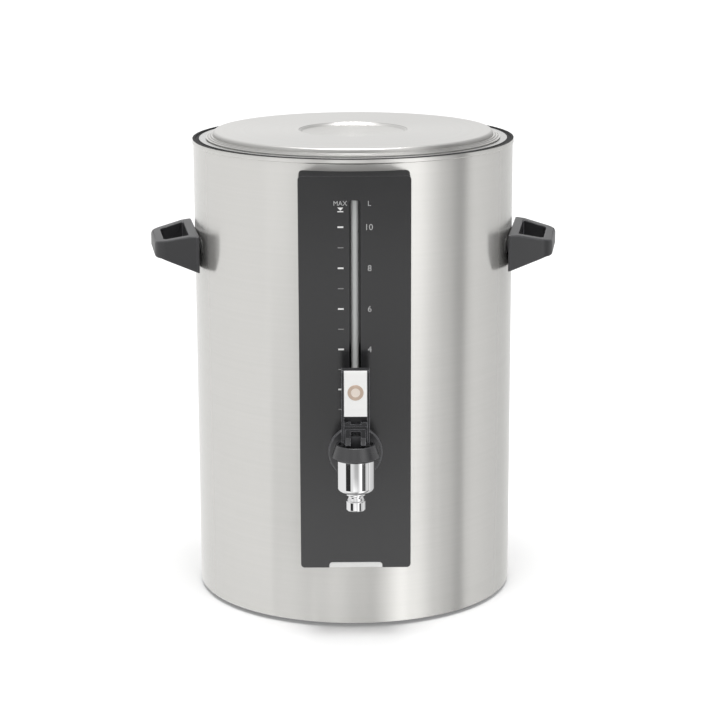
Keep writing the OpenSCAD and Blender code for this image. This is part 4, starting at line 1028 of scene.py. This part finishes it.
@dataclass
class Tap:
    """The tap: barrel, arm, nozzle, collar and the round plate behind it."""

    axis_y: float = -214.5
    inlet_z: float = 178.8
    panel_y: float = -180.5
    barrel: float = 17.0
    barrel_low: float = 151.8
    barrel_round: float = 4.5
    collar_foot: float = 179.7
    shoulder: float = 182.2
    neck: float = 15.0
    neck_in: float = 12.5
    neck_top: float = 190.0
    nozzle: float = 9.2
    nozzle_low: float = 134.3
    bore: float = 5.0
    body: str = "urn"

    def barrel_piece(self) -> None:
        """Barrel, neck and arm, chromed as one casting."""
        low, r = self.barrel_low, self.barrel_round
        outline = [(5.5, low), (self.barrel - r, low)] + arc((self.barrel - r, low + r), r, -90, 0, 10)[1:]
        outline += [(self.barrel, 168.0), (self.barrel, self.shoulder), (self.neck, self.shoulder),
                    (self.neck, self.neck_top), (self.neck_in, self.neck_top), (self.neck_in, 160.8),
                    (6.5, 160.8), (6.5, 162.3), (5.5, 162.3)]
        barrel = turned(outline, middle=(0, self.axis_y, 0), steps=96)
        soften(barrel, 0.3, 2, 50)
        front, back = self.axis_y + 11.0, self.panel_y - 2.5
        arm = [(7.05, front), (8.5, front), (8.5, back - 4.2)] + arc((9.7, back - 4.2), 1.2, 180, 90, 5)[1:]
        arm += [(11.1, back - 3.0), (11.5, back - 2.6), (11.5, back - 0.3), (11.2, back), (7.05, back)]
        rod = turned(arm, Turn.FORWARD, (0, 0, self.inlet_z), 64)
        piece("tap_barrel", joined([barrel, rod]), CHROME, self.body, ["tap_body"])

    def nozzle_piece(self) -> None:
        """The spout's nozzle: a waist under the barrel and a flared mouth."""
        z, r = self.nozzle_low, self.nozzle
        outline = [(self.bore, z + 0.4), (self.bore + 0.6, z), (r - 1.4, z), (r - 0.4, z + 0.5), (r, z + 1.5),
                   (r, z + 8.6), (r - 0.3, z + 9.3), (r - 1.0, z + 9.9), (r - 1.9, z + 12.2),
                   (r - 1.9, z + 13.5), (r - 0.3, z + 14.4), (r - 0.1, z + 14.8), (r - 0.1, z + 16.0),
                   (r + 0.9, z + 17.5), (self.bore, z + 17.5)]
        bm = soften(turned(outline, middle=(0, self.axis_y, 0), steps=72), 0.2, 2, 28)
        piece("nozzle", bm, CHROME, self.body, ["spout_nozzle"], 15)

    def collar_piece(self) -> None:
        """The black collar that carries the lever's foot."""
        foot = self.collar_foot
        outline = [(15.05, foot + 2.55), (18.6, foot + 2.55), (19.2, foot + 2.8), (21.3, foot + 4.6),
                   (21.5, foot + 5.0), (21.35, foot + 5.6), (18.05, foot + 15.3)]
        outline += arc((17.35, foot + 15.7), 0.6, 0, 90, 4)
        outline += [(15.9, foot + 16.3), (15.5, foot + 15.9), (15.5, 192.5), (2.55, 192.5), (2.55, 190.0),
                    (15.05, 190.0)]
        bm = soften(turned(outline, middle=(0, self.axis_y, 0), steps=96), 0.2, 2, 40)
        piece("collar", bm, TAP_BLACK, self.body, ["tap_collar"])

    def back_plate(self) -> None:
        """The round plate on the panel, with a stepped edge."""
        y = self.panel_y
        outline = [(7.3, y), (7.3, y - 2.5), (11.9, y - 2.5), (12.1, y - 2.3), (12.5, y - 2.3),
                   (12.7, y - 2.5), (23.4, y - 2.5), (23.9, y - 2.2), (24.1, y - 1.6), (24.7, y - 1.5),
                   (24.9, y - 1.2), (24.9, y)]
        piece("tap_plate", turned(outline, Turn.FORWARD, (0, 0, self.inlet_z), 96), TAP_BLACK, self.body,
              ["escutcheon"], 24)

    def build(self) -> None:
        """Makes the tap's still pieces."""
        self.barrel_piece()
        self.nozzle_piece()
        self.collar_piece()
        self.back_plate()


@dataclass
class Lever:
    """The tipping lever with its face plate and plain ring badge, and the stem and spring it works."""

    face: float = -222.2
    badge_z: float = 244.9
    badge: float = 7.1
    badge_in: float = 4.1
    spring_top: Tuple[float, float, float] = (0.0, -214.5, 190.0)
    lift: float = 4.8

    def spring(self) -> None:
        """The spring round the stem, under the neck."""
        bm = merged("valve_spring")
        coil = piece("spring", bm, TANK, "urn", ["valve_spring"], 50)
        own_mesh(coil)

    def build(self) -> None:
        """Makes the lever's pieces, and the stem and spring that it works."""
        self.spring()
        rounded("lever_frame", "tap_lever", LEVER_BLACK, "lever", 0.55, 3, 35)
        rounded("lever_face", "lever_plate", PLATE, "lever", SHEET_EDGE, angle=20)
        y, r = self.face, self.badge
        middle = (0, 0, self.badge_z)
        ring = [(self.badge_in, y), (self.badge_in, y - 0.28), (self.badge_in + 0.3, y - 0.38),
                (5.3, y - 0.38), (5.5, y - 0.26), (5.7, y - 0.38), (r - 0.5, y - 0.38), (r - 0.1, y - 0.28),
                (r, y)]
        piece("badge_ring", turned(ring, Turn.FORWARD, middle, 64), COPPER, "lever", ["lever_badge"], 30)
        disc = [(0, y - 0.24), (1.6, y - 0.24), (1.8, y - 0.12), (2.2, y - 0.12), (2.4, y - 0.24),
                (self.badge_in, y - 0.24), (self.badge_in, y), (0, y)]
        solid = turned(disc, Turn.FORWARD, middle, 64, closed=False)
        piece("badge_disc", solid, PALE_COPPER, "lever", smooth=30)
        # The pin's dark finish is painted shade
        rounded("pin", "lever_pin", PIN_PAINTED_SHADE, "lever")
        # The stem's dark finish is painted shade
        rounded("stem", "valve_stem", STEM_PAINTED_SHADE, "stem", 0.2)


@dataclass
class Handles:
    """The two loop handles, moulded, with rounded edges."""

    edge: float = 1.5
    flat: float = 4.0
    body: str = "urn"

    def build(self) -> None:
        """Makes both handles."""
        for side in ("left", "right"):
            bm = soften(merged(f"handle_{side}", self.flat), self.edge, 3, 38, careful=False)
            piece(f"loop_{side}", bm, HANDLE, self.body, [f"handle_{side}"])


@dataclass
class RearInlet:
    """The moulding in the rear wall with the appliance inlet and the rocker switch."""

    body: str = "urn"

    def build(self) -> None:
        """Makes the rear pieces."""
        rounded("rear_housing", "inlet_housing", INLET_BLACK, self.body, 0.5)
        rounded("socket", "power_inlet", INLET_BLACK, self.body, SHEET_EDGE)
        rounded("switch_surround", "switch_frame", INLET_BLACK, self.body)
        rounded("rocker", "switch_rocker", ROCKER, "rocker", angle=20)


@dataclass
class Inside:
    """What the other classes leave: pieces under the tank and in the walls, dressed by their slots."""

    own: Dict[str, Finish] = field(default_factory=lambda: {
        "thermostat": PHENOLIC, "boil_dry_cutout": CERAMIC})

    def build(self) -> None:
        """Dresses every node that still shows."""
        for name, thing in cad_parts.items():
            if thing.hide_render:
                continue
            slots = [s.material.name for s in thing.material_slots if s.material]
            known = [BY_SLOT[s] for s in slots if s in BY_SLOT]
            if name in self.own:
                dress(name, self.own[name])
            elif known:
                dress(name, known[0])
            elif not any("-" in s for s in slots):
                LOG.warning("node %s has slots %s", name, slots)
                dress(name, ZINC)


# ---------------------------------------------------------------- studio


@dataclass
class Studio:
    """Floor, lamps, surroundings and camera."""

    distance: float = 2.1603
    height: float = 0.736
    pitch: float = 13.385
    yaw: float = 0.16
    round_: float = 0.35
    roll: float = 0.19
    lens: float = 112.78
    sun: float = 2.1
    sun_soft: float = 36.0
    sun_lean: float = -8.0
    room_light: float = 0.8
    floor_glow: float = 0.09
    floor_half: float = 40.0
    floor_grey: float = 0.88
    around_top: float = 2.0
    rising_top: float = 3.0
    lift_gain: float = 1.8
    stripe_depth: float = 0.97
    around: Tuple[Pair, ...] = (
        (-180, 1.25), (-160, 1.08), (-135, 0.97), (-88, 1.01), (-66, 1.02), (-62, 1.16), (-50, 1.19),
        (-34, 1.06), (-29, 0.93), (-16, 0.91), (-8, 0.72), (-2, 0.6), (13, 0.57), (18, 0.84), (25, 1.25),
        (32, 1.66), (46, 1.76), (51, 1.5), (58, 1.12), (65, 0.72), (72, 0.53), (78, 0.3), (82, 0.18),
        (86, 0.26), (90, 0.66), (95, 0.86), (120, 0.72), (138, 0.7), (150, 0.8), (165, 0.92), (180, 1.25))
    rising: Tuple[Pair, ...] = (
        (0.32, 1.15), (0.333, 1.4), (0.340, 2.9), (0.350, 2.3), (0.358, 1.05), (0.372, 0.8), (0.380, 0.65),
        (0.392, 1.5), (0.403, 2.0), (0.412, 1.3), (0.4185, 0.25), (0.44, 0.25), (0.452, 1.0), (0.5, 1.7),
        (0.56, 1.8), (0.85, 1.8))

    def floor(self) -> None:
        """A plain pale floor."""
        bm = bmesh.new()
        bmesh.ops.create_grid(bm, x_segments=2, y_segments=2, size=self.floor_half)
        mesh = bpy.data.meshes.new("floor")
        bm.to_mesh(mesh)
        bm.free()
        mat = bpy.data.materials.new("floor_paper")
        mat.use_nodes = True
        tree = mat.node_tree
        bsdf, ray = tree.nodes["Principled BSDF"], tree.nodes.new("ShaderNodeLightPath")
        bsdf.inputs["Base Color"].default_value = (*(self.floor_grey,) * 3, 1)
        bsdf.inputs["Roughness"].default_value = 0.9
        bsdf.inputs["Specular IOR Level"].default_value = 0.0
        bsdf.inputs["Emission Color"].default_value = (1, 1, 1, 1)
        glow = add_sum(tree, "MULTIPLY", ray.outputs["Is Camera Ray"], self.floor_glow)
        tree.links.new(glow, bsdf.inputs["Emission Strength"])
        mesh.materials.append(mat)
        ground = placed("floor", mesh)
        ground.visible_glossy = False

    def lamps(self) -> None:
        """One broad soft light overhead, leaning towards the camera."""
        lamp = bpy.data.lights.new("overhead", "SUN")
        lamp.energy, lamp.angle = self.sun, math.radians(self.sun_soft)
        placed("overhead", lamp).rotation_euler = (math.radians(-self.sun_lean), 0.0, 0.0)

    def surroundings(self) -> None:
        """White behind the object, and a pale room that metal and gloss show."""
        world = bpy.data.worlds.new("studio")
        bpy.context.scene.world = world
        world.use_nodes = True
        nodes, link = world.node_tree.nodes, world.node_tree.links.new
        nodes.clear()
        out, back = nodes.new("ShaderNodeOutputWorld"), nodes.new("ShaderNodeBackground")
        link(back.outputs[0], out.inputs[0])
        way, split = nodes.new("ShaderNodeTexCoord"), nodes.new("ShaderNodeSeparateXYZ")
        link(way.outputs["Generated"], split.inputs[0])

        sum_of = partial(add_sum, world.node_tree)
        times = partial(sum_of, "MULTIPLY")

        def ramp(value: Socket, stops: Sequence[Pair], top: float) -> Socket:
            """A curve through stops, from 0 to 1, put out as a share of its top value."""
            node = nodes.new("ShaderNodeValToRGB")
            link(value, node.inputs[0])
            row = node.color_ramp.elements
            while len(row) > 1:
                row.remove(row[-1])
            row[0].position, row[0].color = stops[0][0], (*(stops[0][1] / top,) * 3, 1)
            for place, height in stops[1:]:
                row.new(place).color = (*(height / top,) * 3, 1)
            return node.outputs[0]

        angle = sum_of("ARCTAN2", split.outputs[0], times(split.outputs[1], -1.0))
        turn = sum_of("ADD", sum_of("DIVIDE", angle, math.tau), 0.5)
        rise = sum_of("ADD", times(split.outputs[2], 0.5), 0.5)
        stops = [(a / 360 + 0.5, v) for a, v in self.around]
        room = times(ramp(turn, stops, self.around_top), self.around_top)
        front = ramp(turn, [(0.44, 0), (0.482, 1), (0.518, 1), (0.56, 0)], 1)
        fall = times(ramp(rise, self.rising, self.rising_top), self.rising_top)
        tilt = sum_of("ADD", times(front, sum_of("SUBTRACT", fall, 1.0)), 1.0)
        stripe = ramp(turn, [(0.323, 0), (0.327, 1), (0.409, 1), (0.413, 0), (0.603, 0), (0.607, 0.95),
                             (0.668, 0.95), (0.672, 0)], 1)
        band = ramp(rise, [(0.341, 0), (0.344, 1), (0.369, 1), (0.372, 0)], 1)
        lift = ramp(turn, [(0.686, 0), (0.72, 1), (0.74, 1), (0.758, 0)], 1)
        change = sum_of("SUBTRACT", times(lift, self.lift_gain), times(stripe, self.stripe_depth))
        keep = sum_of("ADD", 1.0, times(change, band))
        above = ramp(rise, [(0.04, 0.3), (0.13, 1.0), (0.5, 1.0), (0.55, 0.85)], 1)
        studio = times(times(times(room, above), tilt), keep)
        ray = nodes.new("ShaderNodeLightPath")
        shiny = sum_of("MAXIMUM", ray.outputs["Is Glossy Ray"], ray.outputs["Is Transmission Ray"])
        dull = sum_of("SUBTRACT", 1.0, sum_of("MAXIMUM", shiny, ray.outputs["Is Camera Ray"]))
        total = sum_of("ADD", times(shiny, studio), ray.outputs["Is Camera Ray"])
        link(sum_of("ADD", total, times(dull, self.room_light)), back.inputs["Strength"])

    def camera(self) -> None:
        """The camera, as it stands to the vessel."""
        data = bpy.data.cameras.new("camera")
        data.lens, data.sensor_width = self.lens, 36.0
        data.clip_end = 50.0
        thing = placed("camera", data)
        turn = Matrix.Rotation(math.radians(-self.yaw), 4, "Z") @ Matrix.Rotation(
            math.radians(90 - self.pitch), 4, "X") @ Matrix.Rotation(math.radians(-self.roll), 4, "Z")
        swing = Matrix.Rotation(math.radians(-self.round_), 4, "Z")
        thing.matrix_world = swing @ Matrix.Translation((0.0, -self.distance, self.height)) @ turn
        bpy.context.scene.camera = thing

    def build(self) -> None:
        """Sets up the studio."""
        bpy.context.scene.view_settings.view_transform = "Standard"
        self.floor()
        self.lamps()
        self.surroundings()
        self.camera()


def main() -> None:
    """Builds every sub-assembly in order."""
    logging.basicConfig(level=logging.INFO, format="%(message)s")
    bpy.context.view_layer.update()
    for assembly in (Studio(), Vessel(), Lid(), FrontPanel(), Tap(), Lever(), Handles(), RearInlet(),
                     Inside()):
        assembly.build()
        LOG.info("%s done", type(assembly).__name__)


if __name__ == "__main__":
    main()
